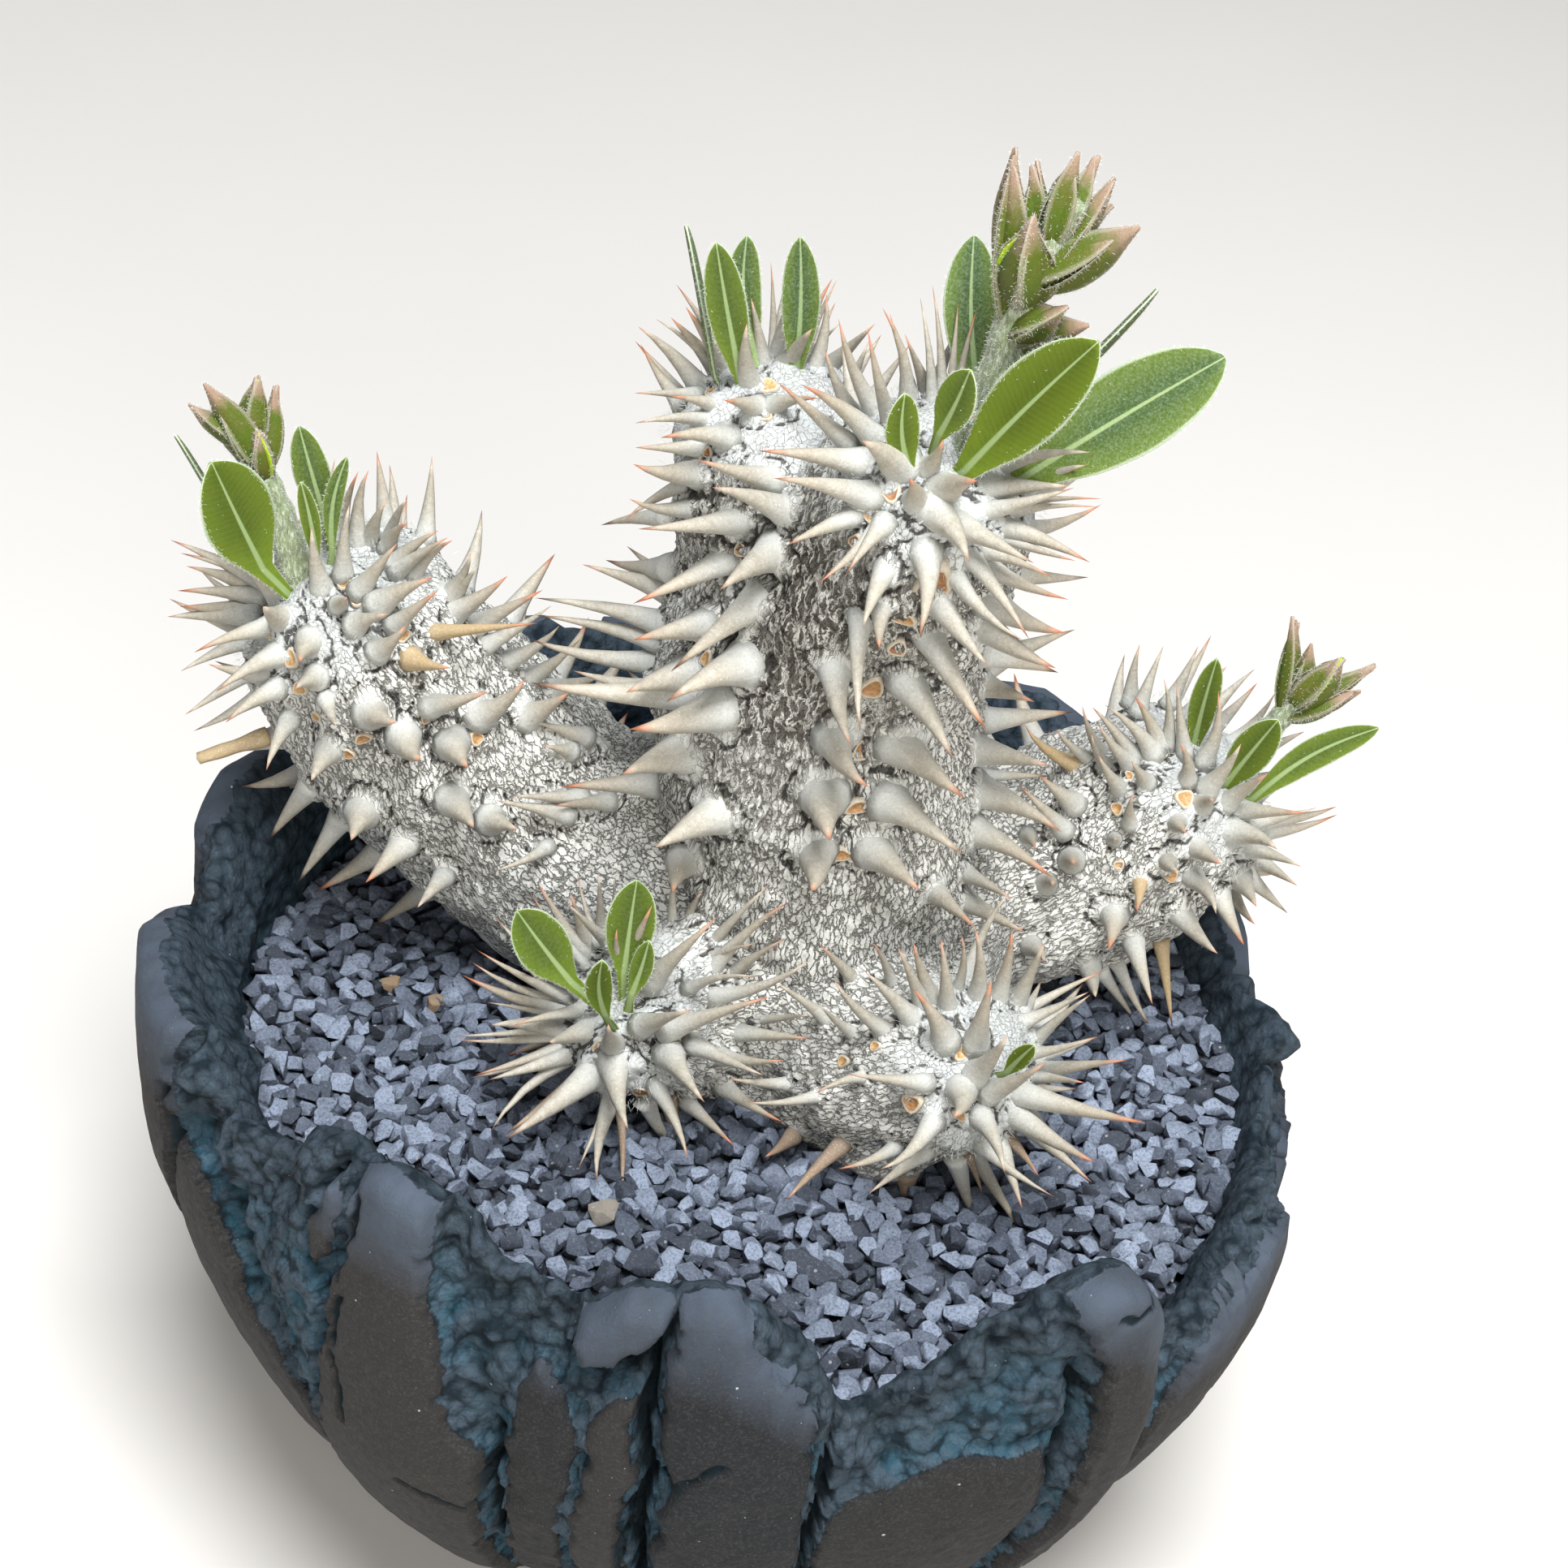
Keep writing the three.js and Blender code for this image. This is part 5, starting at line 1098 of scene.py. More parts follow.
spineLook = {
    "sides": 10, "heights": [-0.12, 0, 0.1, 0.27, 0.5, 0.76], "radii": [1.2, 1, 0.84, 0.66, 0.45, 0.22], "bend": 2.6,
    "pale": (0.41, 0.385, 0.325), "grey": (0.29, 0.265, 0.21), "warm": (0.35, 0.305, 0.235),
    "foot": (0.45, 0.46, 0.435), "tan": (0.4, 0.28, 0.13), "withered": (0.2, 0.12, 0.065),
    "speck": (0.2, 0.17, 0.12), "glint": (0.72, 0.73, 0.68), "brown": (0.35, 0.26, 0.17), "tip": (0.34, 0.125, 0.06),
}
scarLook = {
    "fresh": (0.62, 0.4, 0.16), "old": (0.23, 0.09, 0.035), "pit": (0.16, 0.06, 0.02), "rim": (0.62, 0.58, 0.48),
    "rimDark": (0.3, 0.22, 0.14), "sides": 14,
    "rings": ((1.25, -0.5, 0), (1.08, 0.12, 0), (0.9, 0.2, 0.1), (0.68, 0.03, 0.8), (0.3, -0.04, 1)),
}


def spineRows(name):  # the listed spines and those of the hidden side
    rows = [(along, azimuth, ahead / 100, around / 100, size, foot, *(kind or [0]))
            for along, azimuth, ahead, around, size, foot, *kind in spineSets[name]]
    start, end, first, last, pitch, spread, length, width = hiddenSpines[name]
    limb, dice, rules = limbs[name], np.random.default_rng(len(name) * 7), spineRules
    listed = limb.skin([row[0] for row in rows], [row[1] for row in rows])[0]
    if name == "trunk":  # in columns
        places = [(along, azimuth) for number, azimuth in enumerate(np.arange(start + 18, end, rules["columnPitch"]))
                  for along in np.arange(first + 3 * (number % 2), last, pitch)]
    else:  # in a spiral, with slim ones round the hidden half of the crown
        places = [(along, index * goldenTurn) for index, along in enumerate(np.arange(first, last, pitch / 1.6))]
        for step in range(rules["crownSteps"]):
            share, turn = (step + 0.5) / 32, step * goldenTurn % 360
            along = limb.length - limb.dome * (1 - share)
            point = limb.skin([along], [turn])[0]
            near = np.linalg.norm(listed - point, axis=1).min() <= rules["crownGap"]
            if start - rules["crownMargin"] < turn < end + rules["crownMargin"] and not near:
                rows.append((along, turn, 0.55 - 0.5 * share, dice.normal() * 0.12,
                             length * (0.8 + 0.25 * dice.random()), width * 0.68, 0))
                listed = np.concatenate([listed, point])
    others = [other for key, other in limbs.items() if key != name]
    for (along, azimuth), side in product(places, (-1, 1)):
        turn = azimuth + side * spread + dice.normal() * 2
        if not start < turn % 360 < end:
            continue
        point, outward = limb.skin([along], [turn])[:2]
        low = point[0, 2] < gravel["top"] + rules["overGravel"]
        if low or np.linalg.norm(listed - point, axis=1).min() < rules["gap"]:
            continue
        if any(other.distance(point + outward * length)[0][0] < rules["tipGap"]
               or other.distance(point + outward * 2)[0][0] < rules["footGap"] for other in others):
            continue
        share = along / limb.length
        rows.append((along, turn, -0.05 + 0.55 * share**2 + dice.normal() * 0.06, side * 0.12 + dice.normal() * 0.08,
                     length * (0.9 + 0.2 * dice.random()), width * (1.1 - 0.3 * share), 0))
        listed = np.concatenate([listed, point])
    return np.array(rows, float)


def spineFeet(name):  # feet, outward directions, aims, lengths, widths and kinds of a limb's spines
    rows = spineRows(name)
    point, outward, ahead, around = limbs[name].skin(rows[:, 0], rows[:, 1])
    lean, swing = rows[:, 2:3], rows[:, 3:4]
    fore = unit(ahead - outward * (ahead * outward).sum(1, keepdims=True))
    aim = unit(outward * np.sqrt(np.clip(1 - lean**2 - swing**2, 0.02, 1)) + fore * lean + around * swing)
    return point, outward, aim, rows[:, 4], rows[:, 5], rows[:, 6]


def smoothLimbs(points, names):  # distance to limbs that grew together, with the direction away
    distance, toward = limbs[names[0]].distance(points)
    for name in names[1:]:
        other, direction = limbs[name].distance(points)
        share = np.clip(0.5 + 0.5 * (distance - other) / bark["fillet"], 0, 1)
        distance = distance * (1 - share) + other * share - bark["fillet"] * share * (1 - share)
        toward = unit(toward * (1 - share)[:, None] + direction * share[:, None])
    return distance, toward


def tubeMesh(limb, cell, reach=0.0):  # closed round skin of a limb in even rings
    body = limb.length - limb.dome
    columns = int(fullTurn * max(limb.radii) / cell)
    rows = list(np.linspace(-reach, body, int((body + reach) / cell), endpoint=False))
    turns = np.linspace(0, math.pi / 2, int(limb.radii[-1] * 1.45 / cell))[:-1]
    rows += list(body + limb.dome * np.sin(turns))
    along = np.repeat(rows, columns)
    points = limb.skin(np.maximum(along, 0), np.tile(ringTurns(columns, 360), len(rows)))[0]
    points = points + limb.ahead[0] * np.minimum(along, 0)[:, None]
    ends = [limb.centre[0] - limb.ahead[0] * reach, limb.centre[-1]]
    return np.concatenate([points, ends]), closedFaces(len(rows), columns)


def pointsAndFaces(mesh):
    points = np.empty(len(mesh.vertices) * 3)
    mesh.vertices.foreach_get("co", points)
    return points.reshape(-1, 3) / mm, [list(face.vertices) for face in mesh.polygons]


def grownTogether(names):  # one skin round several limbs
    shell = bmesh.new()
    for name in names:
        points, faces = tubeMesh(limbs[name], 1.2, 1.0)
        part = bpy.data.meshes.new("part")
        part.from_pydata(points * mm, [], faces)
        shell.from_mesh(part)
        bpy.data.meshes.remove(part)
    piece = linked("together", meshFrom(shell, "together"))
    remesh = piece.modifiers.new("even", "REMESH")
    remesh.mode, remesh.voxel_size = "VOXEL", bark["voxel"] * mm
    points, faces = pointsAndFaces(settled(piece).data)
    bpy.data.objects.remove(piece)
    for _ in range(3):
        distance, toward = smoothLimbs(points, names)
        points = points - toward * np.clip(distance, -1, 1)[:, None]
    return points, faces


def barkLump(points):
    return (roughness(points, 8, 3, 3) - 0.5) * 2 * bark["lump"]


def barkRelief(points, toward, place, names, along):
    # pads under the spines, ringed by fine cracks, over fissured bark; woolly near the crowns
    pad, ring = np.zeros(len(points)), np.zeros(len(points))
    wobble = roughness(points, 1.6, 31, 2) - 0.5
    for name in names:
        feet, _, aims, _, widths, _ = spineFeet(name)
        for foot, aim, width in zip(feet, aims, widths):
            close = np.flatnonzero(np.abs(points - foot).max(1) < width * 1.7)
            away = points[close] - foot
            away = away - aim * (away @ aim)[:, None]
            span = np.linalg.norm(away, axis=1) / (width * bark["padSpread"]) + wobble[close] * 0.35
            pad[close] = np.maximum(pad[close], smooth(1.05, 0.15, span) * min(width / 3.6, 1.1))
            ring[close] = np.maximum(ring[close], np.exp(-((span - 1.12) / 0.085) ** 2))
    inside = smooth(0.12, 0.4, pad)
    ring *= smooth(-0.7, -0.1, roughness(points, 3.5, 5, 2))
    wool = smooth(-9.5, -2.5, along)
    stretched = place / np.array([1.25, 1.25, 2.3])
    stretched = stretched + 0.5 * np.stack([roughness(place, 2.2, seed, 2) - 0.5 for seed in (7, 8, 9)], 1)
    nearest, second = cells(stretched, 1.0, 12)
    fissure = smooth(0.2, 0.0, second - nearest) * (1 - 0.75 * wool) * (1 - inside)
    fine = (roughness(points, 1.1, 17, 2) - 0.5) * 0.16
    height = barkLump(points) + fine * (1 - inside) - bark["fissure"] * fissure
    height = height - bark["ring"] * ring + bark["padHeight"] * pad
    return height, {"pad": inside, "ring": ring, "wool": wool, "fissure": fissure}


def silverBark():
    skin = Finish("silverBark")
    place = skin.mark("barkPlace", "Vector")
    pad, ring, wool, fissure, dark, soft = skin.marks("pad", "ring", "wool", "fissure", "dark", "soft")
    bent = skin.warped(0.9, 1.1, place)
    edge = skin.cracks(0.55, bent, (1, 1, 0.27))
    edge = skin.timesPlus(skin.minus(skin.noise(0.22, 3, 0.6), 0.5), 0.2, edge)
    gap = skin.timesPlus(dark, 0.12, 0.035)
    gap = skin.timesPlus(skin.minus(skin.noise(6, 3, 0.6), 0.5), 0.13, gap)
    opening = skin.plus(skin.minus(edge, skin.timesPlus(wool, -0.05, gap)), 0.5)
    crack = skin.fade(opening, 0.48, 0.53, 1, 0)
    worm = skin.math("ABSOLUTE", skin.minus(skin.noise(0.85, 1, 0.5, bent, (1, 1, 0.35)), 0.5))
    worm = skin.minus(skin.fade(worm, 0.038, 0.072), crack)
    crack = skin.timesPlus(worm, skin.fade(dark, 0.15, 0.6), crack)
    thin = skin.times(skin.fade(skin.cracks(0.7, bent, (1, 1, 0.6)), 0.01, 0.05, 1, 0),
                      skin.fade(skin.noise(2.4, 3, 0.6), 0.45, 0.58, 0, 0.8))
    calm = skin.times(skin.rest(skin.times(pad, 0.85)), skin.rest(skin.times(wool, 0.75)))
    crack = skin.math("MAXIMUM", skin.times(crack, calm), skin.times(thin, skin.rest(pad)))
    ground = skin.coats(bark["crack"], (skin.fade(skin.noise(0.7), 0.35, 0.65), bark["shade"]),
                        (skin.times(soft, skin.rest(dark)), bark["pale"]))
    tone = skin.coats(
        bark["white"], (skin.noise(2.5, 5, 0.65, place), bark["silver"]),
        (skin.fade(skin.noise(0.5, 6), 0.35, 0.65, 0.4, 0), bark["grey"]), (skin.times(dark, 0.6), bark["stain"]),
        (skin.times(wool, 0.7), bark["wool"]), (skin.times(pad, 0.4), spineLook["foot"]), (crack, ground),
        (skin.times(fissure, 0.3), bark["shade"]), (skin.times(skin.fade(ring, 0.25, 0.6), 0.9), bark["crack"]))
    relief = skin.minus(skin.fade(opening, 0.47, 0.58), skin.times(skin.noise(0.4), 0.35))
    normal = skin.bump((skin.times(relief, skin.plus(0.12, calm)), 0.34, 1), (skin.noise(0.25), 0.06, 0.6))
    return skin.done(tone, skin.fade(crack, 0, 1, 0.62, 0.9), normal, Specular_IOR_Level=0.35)


def spineTemplate():  # slim cone of length and radius one, flared at its foot
    heights, radii, turns = spineLook["heights"], spineLook["radii"], ringTurns(spineLook["sides"])
    vertices = [(radius * math.cos(turn), radius * math.sin(turn), height)
                for height, radius in zip(heights, radii) for turn in turns]
    vertices += [(0, 0, heights[0]), (0, 0, 1)]
    rise = [max(vertex[2], 0) for vertex in vertices]
    return meshPiece("spineShape", vertices, closedFaces(len(heights), len(turns)), {"rise": rise}, scale=1)


def spineFinish():
    spine, look = Finish("silverSpine"), spineLook
    rise, shade, kind = spine.marks("rise", "shade", "kind")
    tan, withered = (spine.math("COMPARE", kind, number) for number in (1, 2))
    reach = spine.plus(rise, spine.times(spine.minus(shade, 0.5), 0.22))
    tone = spine.coats(
        look["pale"], (spine.fade(spine.noise(0.9, 5), 0.35, 0.7), look["grey"]),
        (spine.times(shade, 0.45), look["warm"]), (spine.fade(rise, 0.02, 0.4, 0.85, 0), look["foot"]),
        (spine.times(tan, 0.85), look["tan"]), (spine.times(withered, 0.8), look["withered"]),
        (spine.fade(spine.noise(0.35, 5, 0.8), 0.5, 0.66, 0, 0.38), look["speck"]),
        (spine.fade(spine.noise(0.22, 4, 0.8), 0.55, 0.68, 0, 0.45), look["glint"]),
        (spine.fade(reach, 0.5, 0.88, 0, 0.45), look["brown"]),
        (spine.ramp(reach, (0.78, 0), (0.94, 0.8), (1, 1)), look["tip"]))
    return spine.done(tone, spine.fade(rise, 0.3, 0.9, 0.6, 0.38), spine.bump((spine.noise(0.6, 5), 0.1, 1)),
                      Specular_IOR_Level=0.35)


def growSpines(title, names, shape, finish):
    foot, outward, aim, length, width, kind = [np.concatenate(parts) for parts in zip(*map(spineFeet, names))]
    dice = np.random.default_rng(len(foot))
    droop = unit(aim - outward * (aim * outward).sum(1, keepdims=True) + dice.normal(size=foot.shape) * 0.25)
    sag = droop * (length * (0.03 + 0.09 * dice.random(len(foot))))[:, None]
    start = meshPiece(title, foot - aim * 0.05, [], {
        "aim": aim, "droop": sag * mm, "length": length * mm, "girth": width / 2 * mm,
        "shade": dice.random(len(foot)), "kind": kind})
    tree = Growth("spineGrowth", Finish=finish)
    turn = tree.add("FunctionNodeAlignRotationToVector", {"Vector": tree.vector("aim")}, axis="Z")
    size = tree.sizes(tree.named("girth"), tree.named("girth"), tree.named("length"))
    grown = tree.copies(tree.source["Geometry"], tree.shape(shape), turn, size)
    grown = tree.add("GeometryNodeRealizeInstances", {"Geometry": grown})
    rise = tree.named("rise")
    bend = tree.math("SUBTRACT", tree.math("MULTIPLY", rise, rise), rise)
    bend = tree.scaled(tree.scaled(tree.vector("droop"), bend), spineLook["bend"])
    return tree.grow(start, tree.add("GeometryNodeSetPosition", {"Geometry": grown, "Offset": bend}))


def scarShape():  # rounded triangle with a raised rim and a sunken face, of half width one
    sides, rings, vertices = scarLook["sides"], len(scarLook["rings"]), []
    for (radius, height, _), turn in product(scarLook["rings"], ringTurns(sides)):
        reach = radius * (1 + 0.14 * math.sin(3 * turn + math.pi))
        vertices.append((reach * math.cos(turn), reach * math.sin(turn), height))
    faces = gridFaces(rings, sides) + [list(range(sides))[::-1], list(range((rings - 1) * sides, rings * sides))]
    sunken = np.repeat([ring[2] for ring in scarLook["rings"]], sides)
    return meshPiece("scarShape", vertices, faces, {"sunken": sunken}, scale=1)


def scarFinish():
    scar, look = Finish("leafScar"), scarLook
    sunken, dark = scar.marks("sunken", "darkness")
    face = scar.coats(look["fresh"], (dark, look["old"]), (scar.fade(scar.noise(0.35), 0.4, 0.62, 0.6, 0), look["pit"]))
    rim = scar.mix(scar.noise(0.5), look["rim"], look["rimDark"])
    tone = scar.mix(scar.fade(sunken, 0.15, 0.6), rim, face)
    return scar.done(tone, scar.fade(sunken, 0, 1, 0.7, 0.5), scar.bump((scar.noise(0.3), 0.08, 0.8)))


def growScars(finish):
    rows = np.concatenate([np.array(scars, float) for scars in leafScars.values()])
    parts = [limbs[name].skin(*np.array(scars, float)[:, :2].T)[:3] for name, scars in leafScars.items()]
    foot, outward, ahead = (np.concatenate(group) for group in zip(*parts))
    wide, high = rows[:, 2], rows[:, 3]
    shape = scarShape()
    scars = meshPiece("leaf_scars", foot + outward * barkLump(foot)[:, None], [], {
        "outward": outward, "ahead": ahead, "darkness": rows[:, 4],
        "size": np.stack([wide, high, (wide + high) / 2], 1) * mm})
    tree = Growth("scarGrowth", Finish=finish)
    turn = tree.add("FunctionNodeAxesToRotation", {0: tree.vector("outward"), 1: tree.vector("ahead")},
                    primary_axis="Z", secondary_axis="Y")
    tree.grow(scars, tree.copies(tree.source["Geometry"], tree.shape(shape), turn, tree.vector("size")))
    bpy.data.objects.remove(shape)
    dress(scars, finish, slot="bark")


def headSkin(names):  # the trunk and its heads, with places along for the wool near the crowns
    points, faces = grownTogether(names)
    along = np.full(len(points), -99.0)
    for name in names[1:]:
        near, reach = limbs[name].distance(points)[0], limbs[name].locate(points)[0] - limbs[name].length
        along = np.maximum(along, np.where(near < 1.5, reach, -99))
    return points, faces, smoothLimbs(points, names)[1], points, along


def stemSkin(limb, root):  # a side stem, wider where it leaves the trunk, with its bark unrolled
    points, faces = tubeMesh(limb, bark["voxel"] * 1.05, 1.5)
    along, azimuth = limb.locate(points)
    toward, centre = limb.distance(points)[1], limb.frame(along)[0]
    flare = bark["flare"] * smooth(6.0, -0.5, root.distance(points)[0]) ** 2
    points = points + unit(points - centre) * flare[:, None]
    radius, angle = np.linalg.norm(points - centre, axis=1), np.radians(azimuth)
    place = np.stack([radius * np.cos(angle), radius * np.sin(angle), along], 1)
    return points, faces, toward, place, along - limb.length


def stemPiece(title, node, names, finish, soft):
    trunk = len(names) > 1
    points, faces, toward, place, along = headSkin(names) if trunk else stemSkin(limbs[names[0]], limbs["trunk"])
    height, marks = barkRelief(points, toward, place, names, along)
    dark = np.zeros(len(points))
    for x, y, z, wide, high, share in bark["stains"] if trunk else []:
        away = np.hypot(np.hypot(points[:, 0] - x, points[:, 1] - y) / wide, (points[:, 2] - z) / high)
        stain = share * smooth(1.6, 0.3, away + 0.22 * roughness(points, 4, 3, 3))
        dark = np.maximum(dark, stain * (1 - marks["wool"]))
    marks.update(barkPlace=place * mm, dark=dark, soft=np.full(len(points), soft))
    dress(meshPiece(title, points + toward * height[:, None], faces, marks), finish, node, slot="bark")
    print(f"  {title}: {len(faces)} faces")


print("stems")
barkFinish, spineMaterial = silverBark(), spineFinish()
spineShape = spineTemplate()
for title, node, names, soft in (
        ("trunk", "trunk", ["trunk", "leftHead", "rightHead"], 0.5), ("left_stem", "left_stem", ["left"], 0.6),
        ("right_stem", "right_stem", ["right"], 0.85), ("front_left_shoot", "front_left_stem", ["frontLeft"], 0.4),
        ("front_right_shoot", "front_right_stem", ["frontRight"], 0.75)):
    stemPiece(title + "_skin", node, names, barkFinish, soft)
    thorns = growSpines(title + "_spines", names, spineShape, spineMaterial)
    dress(thorns, spineMaterial, node, slot="bark")
    print("    spine faces:", len(thorns.data.polygons))
bpy.data.objects.remove(spineShape)
growScars(scarFinish())


# Leaves, flower stalks and buds. A leaf: foot of its blade from the limb's tip, length, width, lean,
# compass turn, twist, bend, how blue it is
crowns = {
    "right_head": ("rightHead", [
        ((1, -2.6, -1), 18.7, 6.9, 31, 67, 80, 0.03, 0), ((6, 0, -3), 21, 8, 48, 94, 55, 0.06, 0.9),
        ((-4, -3.5, -1), 8, 3.2, 11, -60, -100, 0, 0.1), ((-1.7, -2, 1.8), 7.8, 3.9, 16, 56, 90, 0, 0.2),
        ((4.5, 3.5, -1), 18.7, 3.6, 48, 123, 125, 0, 0.8), ((1.6, 6, 1.4), 14.2, 5, 27, -160, -20, 0.05, 1),
        ((4.5, 1.5, 0), 9, 2.4, 22, 90, 60, 0, 0.7)]),
    "left_head": ("leftHead", [
        ((-4.5, 0, -1), 15, 3, 16, -109, 20, 0, 0.8), ((-2, -2.5, 0.5), 14, 3.8, 14, -90, -80, 0, 0.35),
        ((-1, 2.5, 0.5), 11.5, 3.4, 12, -127, -45, 0, 0.9), ((3, 0.5, 0), 13.5, 3.6, 7, -142, -35, 0, 1)]),
    "left": ("left", [
        ((-3.7, -4.3, 2), 13.8, 7.8, 20, -52, -80, 0.05, 0.1), ((1.5, 2.5, 3), 11, 3.6, 18, -112, -50, 0, 0.6),
        ((2.4, -0.1, 2.3), 10.2, 1.9, 9, 136, 45, 0, 0.7), ((1.5, -3.5, 3), 9, 1.9, 10, -90, -75, 0, 0.2),
        ((-7, 0, 2), 12, 2, 32, -104, 30, 0, 0.9)]),
    "right": ("right", [
        ((-4.2, -0.6, 0), 11.8, 3, 2, 90, 80, 0, 0.2), ((-0.8, -4.7, -0.8), 10.4, 4.2, 21, 71, 85, 0, 0.15),
        ((2.3, -4.4, -2.5), 15.2, 3.3, 45, 90, 55, 0.03, 0.3)]),
    "front_left": ("frontLeft", [
        ((-3.9, 0.3, 3.9), 10.2, 5.4, 33, -84, -60, 0, 0.3), ((1.2, 1.5, 4.6), 10.6, 5, 10, 169, 20, 0, 0.3),
        ((0, -2, 2), 8, 2.7, 9, -37, -135, 0, 0.1), ((2.2, 0.1, 3.2), 6.6, 2.3, 13, 125, 40, 0, 0.3)]),
    "front_right": ("frontRight", [((0.5, -1.5, -0.5), 5.5, 2, 25, 60, 90, 0, 0)]),
}
# A stalk: path, radii; its buds: share along the stalk, length, width, lean, turn
stalks = {
    "right_head": ([(13.5, -4.5, 129), (15, -4, 138), (16.5, -4, 149), (19.5, -3.5, 157)], [2, 1.8, 1.5, 1], [
        (0.55, 16.2, 3.3, 12, -142), (0.64, 9.2, 4.5, 10, -10), (0.71, 12, 3, 33, 104), (0.83, 8.9, 2.5, 29, 132),
        (0.71, 11.3, 3.7, 51, 87), (0.53, 6.9, 3.2, 50, 62), (0.5, 7.4, 2.8, 66, 84), (0.84, 9.2, 2.7, 9, 125),
        (0.81, 8.4, 2.2, 24, -143), (0.77, 8.3, 2.8, 58, 124)]),
    "left": ([(-48.5, 10, 98), (-50, 9.5, 105), (-52, 9.5, 111), (-54, 10, 115.5)], [1.8, 1.7, 1.4, 0.9], [
        (0.78, 10.6, 2.8, 31, -93), (0.95, 6.9, 2, 58, -89), (0.95, 7.3, 2.5, 21, 171), (0.75, 6.7, 2.6, 10, -19),
        (0.77, 9, 2, 23, 170)]),
    "right": ([(47.5, 20, 81), (49, 20, 85), (51, 20, 90), (53.5, 19, 94.5)], [1.6, 1.4, 1.2, 0.8], [
        (0.69, 10.7, 1.9, 19, -173), (0.81, 8.7, 3.2, 28, 85), (0.84, 8.9, 2, 60, 106), (0.69, 8.3, 2.6, 59, 86),
        (0.74, 8, 2.2, 17, 151)]),
}
leaf = {
    "columns": 12, "rows": 26, "thickness": 0.34, "cup": 0.22, "petiole": 0.6, "petioleDepth": 5, "veins": 0.62,
    "veinSlant": 0.55, "outline": ([0, 0.16, 0.36, 0.58, 0.8, 0.94, 1], [0.3, 0.55, 0.88, 1, 0.82, 0.45, 0.1]),
    "fresh": (0.066, 0.097, 0.002), "blue": (0.032, 0.07, 0.018), "young": (0.14, 0.21, 0.012),
    "deep": (0.045, 0.072, 0.004), "rib": (0.26, 0.34, 0.15), "down": (0.55, 0.64, 0.5),
}
bud = {
    "sepals": 4, "columns": 8, "rows": 15, "fullness": 1.4,
    "outline": ([0, 0.12, 0.35, 0.6, 0.82, 1], [0.45, 0.8, 1, 0.86, 0.45, 0.08]),
    "green": (0.055, 0.092, 0.003), "olive": (0.082, 0.09, 0.01), "pink": (0.4, 0.235, 0.205),
    "fresh": (0.3, 0.43, 0.01), "down": (0.42, 0.37, 0.31),
}
downSheen = {"Sheen_Weight": 0.03, "Sheen_Roughness": 0.5, "Specular_IOR_Level": 0.15}
stalkTones = [(0.3, (0.09, 0.12, 0.045)), (0.5, (0.2, 0.24, 0.13)), (0.72, (0.55, 0.6, 0.5))]
wool = {
    "density": 9.0, "length": 0.75, "thickness": 0.036, "seed": 11, "corner": 2.094,
    "shade": (0.47, 0.48, 0.42), "colour": (0.62, 0.64, 0.59),
}
woolBeds = {name: [] for name, _ in crowns.values()}  # surfaces that bear wool, by limb


def leaning(lean, turn):
    lean, turn = math.radians(lean), math.radians(turn)
    return np.array([math.sin(lean) * math.sin(turn), -math.sin(lean) * math.cos(turn), math.cos(lean)])


def turned(vector, axis, degrees):
    sine, cosine = math.sin(math.radians(degrees)), math.cos(math.radians(degrees))
    return vector * cosine + np.cross(axis, vector) * sine + axis * (axis @ vector) * (1 - cosine)


def outlineAt(outline, share):
    curve = curvePoints([(a, b, 0) for a, b in zip(*outline)], 120)[1]
    return np.interp(share, curve[:, 0], curve[:, 1])


def blade(foot, axis, upper, length, width, cup, bend, look, seed, root=None, hug=0.0):
    # closed thin blade: rows of rings, each across the upper face and back across the lower one
    across, columns = np.cross(upper, axis), look["columns"]
    sides = np.sin(np.linspace(-math.pi / 2, math.pi / 2, columns + 1))
    sway = np.random.default_rng(seed).normal() * 0.03
    shares = np.linspace(0, 1, look["rows"])
    halves = outlineAt(look["outline"], shares) * width / 2
    points, marks, stations = [], [], []
    for share, half in zip(shares, halves):
        drop = bend * length * share**2 - hug * half * (1 - 0.5 * share)
        centre = foot + axis * share * length - upper * drop + across * sway * length * math.sin(share * 3.1)
        stations.append((share, half, centre))
    if root is not None:
        stem = leaf["petiole"]
        stations = [(0, stem + (halves[0] - stem) * step**2, root + (foot - root) * step)
                    for step in (0, 0.35, 0.7)] + stations
    for share, half, centre in stations:
        for face, side in [(1, side) for side in sides] + [(-1, side) for side in sides[-2:0:-1]]:
            span = side * half
            ridge = 0.13 * np.exp(-(span / (0.12 * width / 2 + 0.08))**2) * (1 - 0.6 * share)
            slant = share * length - abs(span) * leaf["veinSlant"]
            vein = 0.003 * math.sin(fullTurn * slant / leaf["veins"]) * (1 - abs(side))
            thick = leaf["thickness"] / 2 * (0.45 + 0.55 * (1 - side**2)) * (abs(side) < 0.999)
            rise = cup * half * (abs(side) ** 1.5) + face * (thick + (ridge if face == -1 else ridge * 0.5) + vein)
            points.append(centre + across * span + upper * rise)
            marks.append((abs(side), span, share * length, share))
    points += [stations[0][2] - axis * 0.05, stations[-1][2] + axis * 0.08]
    marks += [(0, 0, 0, 0), (1, 0, length, 1)]
    return np.array(points), closedFaces(len(stations), 2 * columns), np.array(marks)


def merged(parts):  # points, faces and marks of several surfaces in one
    starts = np.cumsum([0] + [len(points) for points, _, _ in parts])
    faces = [[index + start for index in face] for start, (_, polygons, _) in zip(starts, parts) for face in polygons]
    return np.concatenate([part[0] for part in parts]), faces, np.concatenate([part[2] for part in parts])


